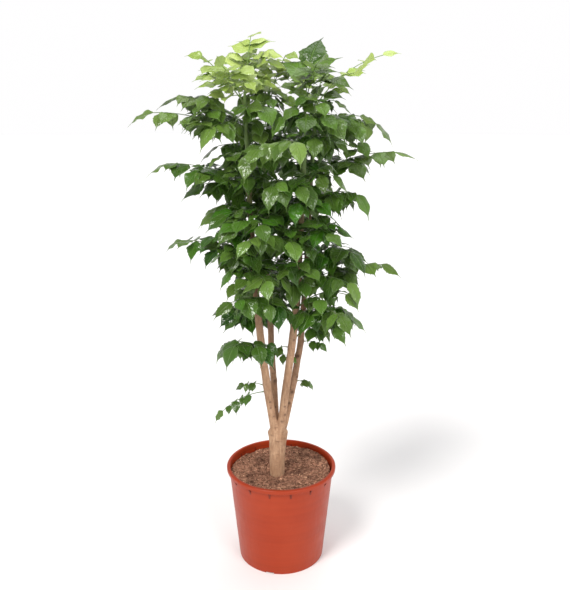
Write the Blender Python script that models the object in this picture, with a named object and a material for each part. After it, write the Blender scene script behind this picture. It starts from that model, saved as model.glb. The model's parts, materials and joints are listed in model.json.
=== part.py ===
"""A potted radermachera: a plastic nursery pot with its potting soil, a short
trunk that divides into four stems, and a tall crown of twice-divided leaves.

Units are metres and +Z is up. The side that faces the viewer is -Y. The origin
is the middle of the pot's base, on the surface that the pot stands on.
"""

import math
import random

import bmesh
import bpy
from mathutils import Matrix, Vector, noise
from mathutils.bvhtree import BVHTree

GAP = 0.0003  # between pieces that touch

# Pot
POT_HEIGHT = 0.278
RIM_RADIUS = 0.155
LIP_INNER_RADIUS = 0.1455
LIP_HEIGHT = 0.0115
WALL_TOP_RADIUS = 0.1475
BASE_RADIUS = 0.121
WALL = 0.0026
POT_SIDES = 42
LIP_ROUNDING = (0.0040, 0.0050)  # how far its outer edge is rounded, across and down
FOOT_WIDTH = 0.016
FOOT_RISE = 0.0045
FOOT_DRAFT = 0.002
CENTRE_DISC_RADIUS = 0.030
RIBS = 16
RIB_TURN = math.radians(-90 + 10.5)
RIB_DROP = 0.017
RIB_STRAIGHT = 0.2  # of its drop that it runs straight down
RIB_REACH = 0.0045
RIB_THICKNESS = 0.003
NOTCHES = 3
NOTCH_TURN = math.radians(-90 - 15)
NOTCH_WIDTH = 0.024
NOTCH_REACH = 0.042
DRAIN_HOLES = 6
DRAIN_SIDES = 8
DRAIN_RADIUS = 0.007
DRAIN_CIRCLE = 0.072
CUT_BEYOND = 0.005  # how far a cutter stands out of what it cuts

# Soil
SOIL_TOP = 0.264
SOIL_HOLLOW = 0.009  # how much lower it lies at the trunk
SOIL_SHRINK = 0.004  # how far its top edge stands off the wall
SOIL_EDGE_SWAY = 0.7  # how much that varies round the edge
SOIL_SHOULDER = 0.016  # how far below its top it meets the wall
SOIL_RINGS = (0.0, 0.28, 0.64, 1.0)  # from the trunk's hole to the edge
HOLLOW_WIDTH = 0.05
SOIL_WAVE = 0.0025
SOIL_WAVE_TURN = 14.0  # radians a metre
SOIL_TILT = 0.026  # metres of fall a metre towards the back
SOIL_LUMP = 0.0022
SOIL_LUMP_WIDTH = 0.036
HOLE_FLOOR = 0.130

# Trunk and stems: (x, y, z, radius) along each, from the bottom up
TRUNK_SIDES = 16
STEM_SIDES = 12
TRUNK = (
    (-0.0110, -0.0200, HOLE_FLOOR + GAP, 0.0190),
    (-0.0110, -0.0200, 0.245, 0.0212),
    (-0.0110, -0.0195, 0.300, 0.0216),
    (-0.0105, -0.0165, 0.345, 0.0232),
    (-0.0092, -0.0130, 0.370, 0.0268),
    (-0.0088, -0.0125, 0.383, 0.0262),
    (-0.0085, -0.0120, 0.395, 0.0215),
)
STEMS = {
    "a": (
        (-0.0160, -0.0210, 0.360, 0.0100),
        (-0.0195, -0.0240, 0.400, 0.0112),
        (-0.0340, -0.0320, 0.500, 0.0110),
        (-0.0500, -0.0400, 0.624, 0.0105),
        (-0.0660, -0.0460, 0.800, 0.0092),
        (-0.0740, -0.0490, 0.950, 0.0078),
        (-0.0790, -0.0510, 1.050, 0.0068),
        (-0.0830, -0.0530, 1.160, 0.0052),
        (-0.0870, -0.0550, 1.290, 0.0030),
    ),
    "b": (
        (-0.0120, 0.0020, 0.360, 0.0085),
        (-0.0135, 0.0060, 0.400, 0.0093),
        (-0.0190, 0.0140, 0.500, 0.0092),
        (-0.0275, 0.0240, 0.624, 0.0088),
        (-0.0300, 0.0330, 0.800, 0.0078),
        (-0.0360, 0.0410, 0.920, 0.0070),
        (-0.0395, 0.0460, 1.050, 0.0062),
        (-0.0360, 0.0520, 1.160, 0.0048),
        (-0.0290, 0.0570, 1.310, 0.0028),
    ),
    "c": (
        (-0.0030, -0.0240, 0.360, 0.0105),
        (0.0010, -0.0270, 0.410, 0.0113),
        (0.0110, -0.0310, 0.500, 0.0109),
        (0.0270, -0.0360, 0.624, 0.0104),
        (0.0430, -0.0400, 0.780, 0.0092),
        (0.0500, -0.0420, 0.930, 0.0078),
        (0.0545, -0.0440, 1.050, 0.0067),
        (0.0590, -0.0460, 1.150, 0.0052),
        (0.0600, -0.0490, 1.290, 0.0030),
    ),
    "d": (
        (0.0000, -0.0020, 0.360, 0.0085),
        (0.0130, 0.0080, 0.410, 0.0093),
        (0.0350, 0.0200, 0.515, 0.0092),
        (0.0540, 0.0310, 0.627, 0.0088),
        (0.0670, 0.0400, 0.800, 0.0079),
        (0.0740, 0.0460, 0.950, 0.0068),
        (0.0780, 0.0500, 1.050, 0.0060),
        (0.0840, 0.0550, 1.150, 0.0047),
        (0.0900, 0.0600, 1.275, 0.0028),
    ),
}
WOOD_TOP = 1.050  # above it each stem is a green shoot
SHOOT_SIDES = 8
BUD_LENGTH = 4  # times its root's radius
BUD_TIP = 0.35  # likewise

# Compound leaves
SEED = 1067
GROUP_SEEDS = {"sprig": 0, "top_leaf": 1000, "side_leaf": 3000, "habit": 5000, "leaf": 10000}
SEED_STEP = 20  # from one leaf to the next, wider than the tries that a leaf gets
MAIN_LEAVES = 30
MAIN_LOWEST = 0.650
MAIN_HIGHEST = 1.215
STEM_ORDER = "acbd"  # the main leaves go round the stems, from the lowest up
GOLDEN_ANGLE = math.radians(137.508)
FIRST_HEADING = math.radians(-118)
SHORTEST_AXIS = 0.105
TIP_REACH = 0.035  # how much further than its axis a leaf's tip reaches
LONGEST_AXIS = 0.255
AXIS_SHARES = (1.0, 0.90, 0.78)  # of the way to the crown's edge
BLADE_LENGTH = 0.070
BLADE_BREADTH = 0.32  # half width over length
BLADE_THICKNESS = 0.0008
BLADE_STATIONS = ((0.30, 0.98), (0.64, 0.70), (1.0, 0.0))  # share of length, share of width
ROOT_CLEAR = 0.0035  # how far from its root room for a piece starts to be looked at
PETIOLE_RADIUS = 0.0020
RACHIS_RADIUS = 0.0012
PINNA_RADIUS = 0.0010
THIN_FROM = 0.62  # share of its length where a stalk is at its thinnest
SLIMMEST = 0.35  # a leaf of size s has stalks 0.35 + s times as thick, and at most once
NODE_LENGTH = 0.0036
PINNA_LENGTH = 0.058
PINNA_BEND = math.radians(22)
PINNA_NODE = 0.52
PINNA_SPREAD = math.radians(56)
LEAFLET_SPREAD = math.radians(74)
CROWN_DEPTH = 0.240  # how far the leaf tips reach to the front and the back
# how far they reach to the sides: (height, to -X, to +X)
REACH = (
    (0.60, 0.215, 0.150),
    (0.69, 0.210, 0.235),
    (0.76, 0.230, 0.290),
    (0.845, 0.245, 0.310),
    (0.90, 0.285, 0.235),
    (0.95, 0.280, 0.245),
    (1.04, 0.240, 0.255),
    (1.09, 0.300, 0.320),
    (1.155, 0.285, 0.290),
    (1.20, 0.240, 0.285),
    (1.245, 0.330, 0.220),
    (1.30, 0.270, 0.190),
)
# the leaves that close the crown: stem, height, heading, rise, bend, axis length, size
TOP_LEAVES = (
    ("a", 1.272, 166, 54, 14, 0.150, 0.80),
    ("a", 1.283, 70, 82, 14, 0.150, 0.92),
    ("b", 1.300, 150, 74, 20, 0.130, 0.72),
    ("c", 1.285, 68, 74, 6, 0.080, 1.24),
    ("d", 1.268, 5, 58, 44, 0.215, 0.62),
    ("c", 1.262, -74, 66, 34, 0.130, 0.90),
    ("b", 1.285, 210, 66, 26, 0.125, 0.80),
    ("d", 1.250, 76, 62, 40, 0.165, 0.84),
    ("a", 1.255, 248, 60, 40, 0.150, 0.88),
    ("b", 1.270, -42, 76, 22, 0.130, 0.76),
)
# long leaves that stand out at the crown's sides, in the same terms
SIDE_LEAVES = (
    ("a", 1.185, 178, 34, 36, 0.235, 0.92),
    ("a", 1.222, 170, 38, 30, 0.175, 0.94),
    ("d", 1.090, -4, 32, 32, 0.220, 1.00),
    ("a", 1.075, 184, 32, 34, 0.205, 0.96),
    ("a", 0.880, 176, 34, 36, 0.185, 0.94),
    ("d", 0.800, -6, 34, 36, 0.205, 0.94),
)
# the small shoots low on the stems: stem, height, heading, rise, bend, axis length, size
LOW_SPRIGS = (
    ("a", 0.512, 190, -2, 42, 0.125, 0.50),
    ("a", 0.530, 168, 18, 40, 0.055, 0.42),
    ("b", 0.600, -14, 12, 30, 0.045, 0.38),
    ("c", 0.640, 168, 10, 60, 0.040, 0.46),
    ("d", 0.635, -8, 10, 30, 0.045, 0.42),
    ("d", 0.520, 20, 10, 50, 0.034, 0.40),
)
# the kinds of leaf: nodes with a side axis, nodes with a pair of leaflets, and how far
# below level the leaflets point, from the least to the most
MAIN_KIND = ([0.33], [0.60, 0.81], (20, 46))
SIDE_KIND = ([0.33], [0.60, 0.81], (4, 28))
TOP_KIND = ([0.46], [0.76], (-38, 14))
UPRIGHT_KIND = ([], [0.56], (-72, -40))
UPRIGHT_SIZE = 1.1  # a larger top leaf than this is of the upright kind
SPRIG_KIND = ([], [0.34, 0.64], (15, 50))
SMALL_SPRIG_KIND = ([], [0.50], (15, 50))
SMALL_SPRIG_AXIS = 0.1  # a sprig with a shorter axis is of the small kind
MAIN_RISE = (34, 54)  # degrees above level that a main leaf starts at
MAIN_DROOP = (2, 22)  # degrees below level that it ends at
MAIN_SIZE = (0.90, 1.10)
BLADE_BEND = (22, 44)  # degrees that a leaflet arches over
BLADE_ROLL = (-12, 12)
BLADE_TURN = (-7, 7)
BLADE_SIZE = (0.86, 1.12)
PINNA_LIFT = 0.45  # of its parent's rise
PINNA_SWAY = (-8, 8)
PINNA_SIZE = (0.9, 1.15)
PINNA_LEAFLETS = 0.94  # their size, over that of the leaf's others
# clearances kept between the parts of the crown
CLEAR_ACROSS = 0.0012
CLEAR_THROUGH = 0.0022
CLEAR_OWN = 0.0005
CLEAR_STEM = 0.0002

COLOURS = {
    "pot": (0.50, 0.085, 0.035),
    "soil": (0.090, 0.048, 0.028),
    "bark": (0.46, 0.27, 0.14),
    "shoot": (0.16, 0.26, 0.06),
    "leaf": (0.035, 0.125, 0.016),
    "young leaf": (0.10, 0.25, 0.03),
}
ROUGHNESS = {"pot": 0.42, "soil": 0.95, "bark": 0.85, "shoot": 0.5, "leaf": 0.35, "young leaf": 0.4}


def clear_scene():
    for obj in list(bpy.data.objects):
        bpy.data.objects.remove(obj, do_unlink=True)


def material(name):
    found = bpy.data.materials.new(name)
    found.use_nodes = True
    shader = found.node_tree.nodes["Principled BSDF"]
    shader.inputs["Base Color"].default_value = (*COLOURS[name], 1.0)
    shader.inputs["Roughness"].default_value = ROUGHNESS[name]
    shader.inputs["Metallic"].default_value = 0.0
    return found


def add_object(name, mesh_data, colour):
    obj = bpy.data.objects.new(name, mesh_data)
    bpy.context.scene.collection.objects.link(obj)
    obj.data.materials.append(material(colour))
    return obj


def mesh_of(builder):
    """The bmesh as mesh data, and the bmesh freed."""
    data = bpy.data.meshes.new("mesh")
    builder.to_mesh(data)
    builder.free()
    return data


def polar(radius, angle, z=0.0):
    return Vector((radius * math.cos(angle), radius * math.sin(angle), z))


def between(rows, key):
    """The row read off a table at this key, its first column, straight between neighbours."""
    for low, high in zip(rows, rows[1:]):
        if key <= high[0]:
            break
    share = min(max((key - low[0]) / (high[0] - low[0]), 0.0), 1.0)
    return [a + (b - a) * share for a, b in zip(low, high)]


# Joining and cutting with Booleans


def boolean(obj, others, operation):
    """Applies one Boolean of all the other objects to this one, and removes them."""
    group = bpy.data.collections.new("operands")
    for other in others:
        bpy.context.scene.collection.objects.unlink(other)
        group.objects.link(other)
    bpy.context.scene.collection.children.link(group)
    modifier = obj.modifiers.new(operation.lower(), "BOOLEAN")
    modifier.operation = operation
    modifier.operand_type = "COLLECTION"
    modifier.collection = group
    modifier.solver = "EXACT"
    graph = bpy.context.evaluated_depsgraph_get()
    joined = bpy.data.meshes.new_from_object(obj.evaluated_get(graph))
    obj.modifiers.clear()
    obj.data = joined
    for other in others:
        bpy.data.objects.remove(other, do_unlink=True)
    bpy.data.collections.remove(group)


def block(size, middle, turn):
    """A plain block, turned about Z through the origin."""
    builder = bmesh.new()
    place = Matrix.Rotation(turn, 4, "Z") @ Matrix.Translation(middle) @ Matrix.Diagonal((*size, 1.0))
    bmesh.ops.create_cube(builder, size=1.0, matrix=place)
    return add_object("block", mesh_of(builder), "pot")


def wedge(turn):
    """One rib under the pot's lip: a three-cornered gusset that dies out down the wall."""
    under_lip = POT_HEIGHT - LIP_HEIGHT
    inside = WALL_TOP_RADIUS - 0.5 * WALL
    corners = (
        (inside, under_lip + 0.5 * LIP_HEIGHT),
        (WALL_TOP_RADIUS + RIB_REACH, under_lip + 0.5 * LIP_HEIGHT),
        (WALL_TOP_RADIUS + RIB_REACH, under_lip - RIB_STRAIGHT * RIB_DROP),
        (wall_radius(under_lip - RIB_DROP) - 0.5 * WALL, under_lip - RIB_DROP),
    )
    builder = bmesh.new()
    half = 0.5 * RIB_THICKNESS
    face = builder.faces.new([builder.verts.new((r, -half, z)) for r, z in corners])
    grown = bmesh.ops.extrude_face_region(builder, geom=[face])["geom"]
    moved = [item for item in grown if isinstance(item, bmesh.types.BMVert)]
    bmesh.ops.translate(builder, verts=moved, vec=(0.0, RIB_THICKNESS, 0.0))
    bmesh.ops.recalc_face_normals(builder, faces=builder.faces)
    bmesh.ops.rotate(builder, verts=builder.verts, matrix=Matrix.Rotation(turn, 3, "Z"))
    return add_object("rib", mesh_of(builder), "pot")


def drain_cutter(turn):
    builder = bmesh.new()
    bmesh.ops.create_cone(
        builder,
        cap_ends=True,
        segments=DRAIN_SIDES,
        radius1=DRAIN_RADIUS,
        radius2=DRAIN_RADIUS,
        depth=2 * (WALL + CUT_BEYOND),
        matrix=Matrix.Translation(polar(DRAIN_CIRCLE, turn, FOOT_RISE + 0.5 * WALL)),
    )
    return add_object("drain", mesh_of(builder), "pot")


# The pot


def wall_radius(z):
    """The outer radius of the pot's wall at this height."""
    share = z / (POT_HEIGHT - LIP_HEIGHT)
    return BASE_RADIUS + (WALL_TOP_RADIUS - BASE_RADIUS) * share


def pot_profile():
    """The turned half outline, from the middle of the inner floor up, over the lip and down."""
    floor = FOOT_RISE + WALL
    under_lip = POT_HEIGHT - LIP_HEIGHT
    foot_inner = BASE_RADIUS - FOOT_WIDTH
    rounding_across, rounding_down = LIP_ROUNDING
    return (
        (0.0, floor),
        (wall_radius(floor) - WALL, floor),
        (wall_radius(under_lip) - WALL, under_lip),
        (LIP_INNER_RADIUS, POT_HEIGHT),
        (RIM_RADIUS - rounding_across, POT_HEIGHT - 0.2 * rounding_down),
        (RIM_RADIUS, POT_HEIGHT - rounding_down),
        (RIM_RADIUS - 0.2 * rounding_across, under_lip),
        (WALL_TOP_RADIUS, under_lip),
        (BASE_RADIUS, 0.0),
        (foot_inner, 0.0),
        (foot_inner - FOOT_DRAFT, FOOT_RISE),
        (CENTRE_DISC_RADIUS + FOOT_DRAFT, FOOT_RISE),
        (CENTRE_DISC_RADIUS, 0.0),
        (0.0, 0.0),
    )


def make_pot():
    builder = bmesh.new()
    verts = [builder.verts.new((radius, 0.0, z)) for radius, z in pot_profile()]
    for low, high in zip(verts, verts[1:]):
        builder.edges.new((low, high))
    bmesh.ops.spin(
        builder,
        geom=builder.verts[:] + builder.edges[:],
        axis=(0.0, 0.0, 1.0),
        cent=(0.0, 0.0, 0.0),
        steps=POT_SIDES,
        angle=2 * math.pi,
    )
    bmesh.ops.remove_doubles(builder, verts=builder.verts, dist=1e-6)
    bmesh.ops.recalc_face_normals(builder, faces=builder.faces)
    pot = add_object("pot", mesh_of(builder), "pot")
    ribs = [wedge(RIB_TURN + 2 * math.pi * i / RIBS) for i in range(RIBS)]
    boolean(pot, ribs, "UNION")
    cutters = [drain_cutter(2 * math.pi * i / DRAIN_HOLES) for i in range(DRAIN_HOLES)]
    notch_top = FOOT_RISE - GAP
    notch_middle = (BASE_RADIUS, 0.0, 0.5 * (notch_top - CUT_BEYOND))
    notch_size = (NOTCH_REACH, NOTCH_WIDTH, notch_top + CUT_BEYOND)
    for i in range(NOTCHES):
        cutters.append(block(notch_size, notch_middle, NOTCH_TURN + 2 * math.pi * i / NOTCHES))
    boolean(pot, cutters, "DIFFERENCE")
    shade_round(pot, 30)
    return pot


def shade_round(obj, sharp_over):
    obj.data.shade_smooth()
    obj.data.set_sharp_from_angle(angle=math.radians(sharp_over))


# The soil


def soil_height(x, y):
    """The uneven top of the soil, lower round the trunk."""
    from_trunk = math.hypot(x - TRUNK[0][0], y - TRUNK[0][1])
    hollow = SOIL_HOLLOW * math.exp(-((from_trunk / HOLLOW_WIDTH) ** 2))
    slope = SOIL_WAVE * math.sin(SOIL_WAVE_TURN * x) - SOIL_TILT * y
    lumps = SOIL_LUMP * noise.noise(Vector((x, y, 0.0)) / SOIL_LUMP_WIDTH)
    return SOIL_TOP - hollow + slope + lumps


def soil_rings():
    """The soil's rings from the middle of the hole's floor, up and over to the underside."""
    floor = FOOT_RISE + WALL + GAP
    hole = TRUNK[1][3] + 2 * GAP
    middle = Vector((TRUNK[0][0], TRUNK[0][1], 0.0))
    rings = []
    turns = [2 * math.pi * i / POT_SIDES for i in range(POT_SIDES)]
    hole_ring = [middle + polar(hole, turn) for turn in turns]
    rings.append([Vector((p.x, p.y, HOLE_FLOOR)) for p in hole_ring])
    edge = wall_radius(SOIL_TOP) - WALL - GAP
    for share in SOIL_RINGS:
        ring = []
        for p, turn in zip(hole_ring, turns):
            shrink = SOIL_SHRINK * (1.0 + SOIL_EDGE_SWAY * math.sin(3 * turn + 1.0))
            at = p.lerp(polar(edge - shrink, turn), share)
            ring.append(Vector((at.x, at.y, soil_height(at.x, at.y))))
        rings.append(ring)
    shoulder = SOIL_TOP - SOIL_SHOULDER
    rings.append([polar(wall_radius(shoulder) - WALL - GAP, turn, shoulder) for turn in turns])
    rings.append([polar(wall_radius(floor) - WALL - GAP, turn, floor) for turn in turns])
    return rings


def lofted(rings):
    """A closed body through rings with equal counts, the first and last of them filled."""
    builder = bmesh.new()
    loops = [[builder.verts.new(point) for point in ring] for ring in rings]
    for low, high in zip(loops, loops[1:]):
        for i in range(len(low)):
            j = (i + 1) % len(low)
            builder.faces.new((low[i], low[j], high[j], high[i]))
    builder.faces.new(reversed(loops[0]))
    builder.faces.new(loops[-1])
    bmesh.ops.recalc_face_normals(builder, faces=builder.faces)
    return mesh_of(builder)


def make_soil():
    soil = add_object("soil", lofted(soil_rings()), "soil")
    shade_round(soil, 40)
    return soil


# The trunk and the stems


def stem_row(stem, z):
    """Height, x, y and radius of a stem at this height."""
    return between([(row[2], row[0], row[1], row[3]) for row in STEMS[stem]], z)


def ring_at(x, y, z, radius, sides):
    return [Vector((x, y, 0.0)) + polar(radius, 2 * math.pi * i / sides, z) for i in range(sides)]


def make_trunk():
    trunk = add_object("trunk", lofted([ring_at(*row, TRUNK_SIDES) for row in TRUNK]), "bark")
    stems = []
    for rows in STEMS.values():
        wood = [row for row in rows if row[2] <= WOOD_TOP]
        stems.append(add_object("stem", lofted([ring_at(*row, STEM_SIDES) for row in wood]), "bark"))
    boolean(trunk, stems, "UNION")
    shade_round(trunk, 40)
    return trunk


def make_shoot(stem):
    rows = [row for row in STEMS[stem] if row[2] >= WOOD_TOP]
    x, y, z, radius = rows[0]
    rows[0] = (x, y, z + GAP, radius)
    x, y, z, radius = rows[-1]
    bud = (x, y, z + BUD_LENGTH * radius, BUD_TIP * radius)
    shoot = add_object(f"shoot_{stem}", lofted([ring_at(*row, SHOOT_SIDES) for row in (*rows, bud)]), "shoot")
    shade_round(shoot, 40)
    return shoot


# The plan of a leaf: arcs for its stalks and its leaflets


class Arc:
    """A run of even curvature: its start frame (x on, y left, z up), length and bend down."""

    def __init__(self, start, length, bend):
        self.start = start
        self.length = length
        self.bend = bend

    def at(self, share):
        bent = self.bend * share
        ahead = self.length * math.sin(bent) / self.bend
        below = self.length * (1.0 - math.cos(bent)) / self.bend
        return self.start @ Matrix.Translation((ahead, 0.0, -below)) @ Matrix.Rotation(bent, 4, "Y")


def degrees_in(chance, span):
    """An angle drawn from a span in degrees, in radians."""
    return math.radians(chance.uniform(*span))


def aimed(point, heading, rise, roll=0.0):
    turned = Matrix.Rotation(heading, 4, "Z") @ Matrix.Rotation(-rise, 4, "Y")
    return Matrix.Translation(point) @ turned @ Matrix.Rotation(roll, 4, "X")


def heading_of(frame):
    return math.atan2(frame[1][0], frame[0][0])


def rise_of(frame):
    return math.asin(max(-1.0, min(1.0, frame[2][0])))


def ring(frame, across, through):
    """Four corners of a section, anticlockwise as seen from ahead."""
    corners = ((across, -through), (across, through), (-across, through), (-across, -through))
    return [frame @ Vector((0.0, y, z)) for y, z in corners]


class Blade:
    """A leaflet: an arched, pointed plate on an arc."""

    def __init__(self, arc):
        self.arc = arc
        self.breadth = BLADE_BREADTH * arc.length

    def ring(self, share, half_width, wider, thicker):
        return ring(self.arc.at(share), half_width + wider, 0.5 * BLADE_THICKNESS + thicker)

    def rings(self, wider=0.0, thicker=0.0):
        return [self.ring(at, self.breadth * wide, wider, thicker) for at, wide in BLADE_STATIONS]

    def outline(self, wider=0.0, thicker=0.0):
        """The rings with one more near the root, where the blade is still narrow."""
        at, wide = BLADE_STATIONS[0]
        share = ROOT_CLEAR / self.arc.length
        near = self.ring(share, self.breadth * wide * share / at, wider, thicker)
        return [near, *self.rings(wider, thicker)]


class Stalk:
    """A leaf's axis or one of its side axes, with what grows from it."""

    def __init__(self, root, arc, thick, thin, nodes):
        self.root = root  # the frame of the section that it starts with
        self.arc = arc
        self.thick = thick
        self.thin = thin
        self.nodes = nodes  # shares of the arc where a pair grows
        self.pairs = {share: [None, None] for share in nodes}
        self.end = None

    def radius(self, share):
        return self.thick + (self.thin - self.thick) * min(1.0, share / THIN_FROM)

    def ring(self, share, wider=0.0):
        size = self.radius(share) + wider
        return ring(self.arc.at(share), size, size)

    def shares(self):
        """Where its sections lie: both ends of each node, and the far end."""
        half = 0.5 * NODE_LENGTH / self.arc.length
        return [share + side for share in self.nodes for side in (-half, half)] + [1.0]

    def outline(self, wider=0.0):
        """The sections, with one more near the root on the straight run to the first of them."""
        shares = self.shares()
        size = self.thick + wider
        root = ring(self.root, size, size)
        first = self.ring(shares[0], wider)
        share = ROOT_CLEAR / (self.arc.length * shares[0])
        near = [a.lerp(b, share) for a, b in zip(root, first)]
        return [near, first, *(self.ring(share, wider) for share in shares[1:])]


# Room in the crown: what stands there already, as fattened prisms


def prism(rings):
    """Corner points and side faces of a run of sections."""
    count = len(rings[0])
    points = [point for section in rings for point in section]
    faces = []
    for row in range(len(rings) - 1):
        for i in range(count):
            j = (i + 1) % count
            low = row * count
            faces.append((low + i, low + j, low + count + j, low + count + i))
    return points, faces


class Room:
    """A growing set of prisms that a new one must not touch."""

    def __init__(self):
        self.points = []
        self.faces = []
        self.tree = None

    def add(self, rings):
        self.add_faces(*prism(rings))

    def add_faces(self, points, faces):
        shift = len(self.points)
        self.points.extend(points)
        self.faces.extend(tuple(shift + i for i in face) for face in faces)
        self.tree = None

    def touches(self, tree):
        if not self.faces:
            return False
        if self.tree is None:
            self.tree = BVHTree.FromPolygons(self.points, self.faces)
        return bool(self.tree.overlap(tree))


def tree_of(rings):
    return BVHTree.FromPolygons(*prism(rings))


# Growing the plan of one leaf where there is room


class Habit:
    """The lengths, angles and nodes of one leaf."""

    def __init__(self, axis, rise, bend, size, kind):
        self.axis = axis
        self.rise = rise
        self.bend = bend
        self.size = size
        self.pinna_nodes, self.leaflet_nodes, self.fall = kind

    def slots(self):
        """How many leaflets such a leaf could carry."""
        return 1 + 2 * len(self.leaflet_nodes) + 6 * len(self.pinna_nodes)


BLADE_TRIES = (
    (0, 0, 1.0),
    (14, 0, 1.0),
    (-12, 0, 1.0),
    (6, 22, 1.0),
    (6, -22, 1.0),
    (26, 10, 0.92),
    (-22, -10, 0.92),
    (20, -28, 0.85),
    (-10, 28, 0.85),
    (34, 0, 0.78),
    (-30, 0, 0.72),
)


def fit_blade(frame, heading, size, habit, room, own, chance):
    """The first way to hang a leaflet here that touches nothing, or None."""
    fall = degrees_in(chance, habit.fall)
    bend = degrees_in(chance, BLADE_BEND)
    roll = degrees_in(chance, BLADE_ROLL)
    length = BLADE_LENGTH * size * chance.uniform(*BLADE_SIZE)
    turn = heading + degrees_in(chance, BLADE_TURN)
    for more_fall, more_roll, scale in BLADE_TRIES:
        rise = -fall - math.radians(more_fall)
        start = aimed(frame.translation, turn, rise, roll + math.radians(more_roll))
        blade = Blade(Arc(start, length * scale, bend))
        tree = tree_of(blade.outline())
        if not room.touches(tree) and not own.touches(tree):
            own.add(blade.outline(CLEAR_ACROSS, CLEAR_THROUGH))
            return blade
    return None


def grow_pair(stalk, share, size, habit, room, own, chance):
    """A pair of leaflets at one node of a stalk."""
    frame = stalk.arc.at(share)
    for side, spread in enumerate((LEAFLET_SPREAD, -LEAFLET_SPREAD)):
        heading = heading_of(frame) + spread
        stalk.pairs[share][side] = fit_blade(frame, heading, size, habit, room, own, chance)


def grow_end(stalk, habit, room, own, chance):
    frame = stalk.arc.at(1.0)
    stalk.end = fit_blade(frame, heading_of(frame), habit.size, habit, room, own, chance)


def grow_pinnae(axis, share, habit, chance):
    """A pair of side axes at one node of the main one."""
    frame = axis.arc.at(share)
    for side, spread in enumerate((PINNA_SPREAD, -PINNA_SPREAD)):
        rise = PINNA_LIFT * rise_of(frame) + degrees_in(chance, PINNA_SWAY)
        length = PINNA_LENGTH * habit.size * chance.uniform(*PINNA_SIZE)
        arc = Arc(aimed(frame.translation, heading_of(frame) + spread, rise), length, PINNA_BEND)
        axis.pairs[share][side] = Stalk(arc.start, arc, RACHIS_RADIUS, PINNA_RADIUS, [PINNA_NODE])
    return axis.pairs[share]


def plan_leaf(root, habit, room, seed):
    """One leaf that starts here, or None where its stalks find no room."""
    chance = random.Random(seed)
    nodes = sorted(habit.pinna_nodes + habit.leaflet_nodes)
    stout = min(1.0, SLIMMEST + habit.size)
    arc = Arc(aimed(root.translation, heading_of(root), habit.rise), habit.axis, habit.bend)
    axis = Stalk(root, arc, stout * PETIOLE_RADIUS, stout * RACHIS_RADIUS, nodes)
    stalks = [axis]
    for share in habit.pinna_nodes:
        stalks.extend(grow_pinnae(axis, share, habit, chance))
    if any(room.touches(tree_of(stalk.outline())) for stalk in stalks):
        return None
    own = Room()
    for stalk in stalks:
        own.add(stalk.outline(CLEAR_OWN))
    for share in habit.leaflet_nodes:
        grow_pair(axis, share, habit.size, habit, room, own, chance)
    for pinna in stalks[1:]:
        grow_pair(pinna, PINNA_NODE, PINNA_LEAFLETS * habit.size, habit, room, own, chance)
    for stalk in stalks:
        grow_end(stalk, habit, room, own, chance)
    return Leaf(axis, stalks, own)


class Leaf:
    def __init__(self, axis, stalks, filled):
        self.axis = axis
        self.stalks = stalks
        self.filled = filled

    def blades(self):
        found = [stalk.end for stalk in self.stalks]
        for stalk in self.stalks:
            found.extend(child for pair in stalk.pairs.values() for child in pair)
        return [blade for blade in found if isinstance(blade, Blade)]


# where else a leaf may start: degrees round its stem and metres up
BASE_TRIES = (
    (0, 0.0),
    (10, 0.0),
    (-10, 0.0),
    (0, 0.012),
    (0, -0.012),
    (20, 0.006),
    (-20, -0.006),
    (32, 0.0),
    (-32, 0.0),
    (15, 0.018),
    (-15, -0.018),
    (45, 0.006),
    (-45, -0.006),
)


def bark_reach(stem, z, heading):
    """How far from the Z axis the stem's side lies, measured along this heading."""
    _, x, y, radius = stem_row(stem, z)
    return x * math.cos(heading) + y * math.sin(heading) + radius


def root_frame(stem, z, heading):
    """A frame just off the stem's side, square to it."""
    step = 0.5 * NODE_LENGTH
    slope = (bark_reach(stem, z + step, heading) - bark_reach(stem, z - step, heading)) / NODE_LENGTH
    _, x, y, radius = stem_row(stem, z)
    base = Vector((x, y, 0.0)) + polar(radius + GAP, heading, z)
    return aimed(base, heading, -math.atan(slope))


def settle_leaf(stem, z, heading, habit, room, seed):
    """The fullest leaf that fits at about this heading."""
    best = None
    for attempt, (turn, lift) in enumerate(BASE_TRIES):
        root = root_frame(stem, z + lift, heading + math.radians(turn))
        leaf = plan_leaf(root, habit, room, seed + attempt)
        if leaf and (best is None or len(leaf.blades()) > len(best.blades())):
            best = leaf
        if best and len(best.blades()) == habit.slots():
            break
    if best:
        room.add_faces(best.filled.points, best.filled.faces)
        for stalk in best.stalks:
            room.add(stalk.outline(CLEAR_ACROSS))
    return best


def reach_at(heading, z):
    _, left, right = between(REACH, z)
    aside = math.cos(heading)
    side = right if aside > 0 else left
    return CROWN_DEPTH + (side - CROWN_DEPTH) * aside * aside


def main_habit(stem, z, heading, chance):
    _, x, y, _ = stem_row(stem, z)
    out = x * math.cos(heading) + y * math.sin(heading)
    axis = reach_at(heading, z) - out - TIP_REACH
    axis = min(max(axis * chance.choice(AXIS_SHARES), SHORTEST_AXIS), LONGEST_AXIS)
    rise = degrees_in(chance, MAIN_RISE)
    bend = rise + degrees_in(chance, MAIN_DROOP)
    return Habit(axis, rise, bend, chance.uniform(*MAIN_SIZE), MAIN_KIND)


def kind_of(group, axis, size):
    if group == "sprig":
        return SPRIG_KIND if axis > SMALL_SPRIG_AXIS else SMALL_SPRIG_KIND
    if group == "top_leaf":
        return UPRIGHT_KIND if size > UPRIGHT_SIZE else TOP_KIND
    return SIDE_KIND


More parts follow.
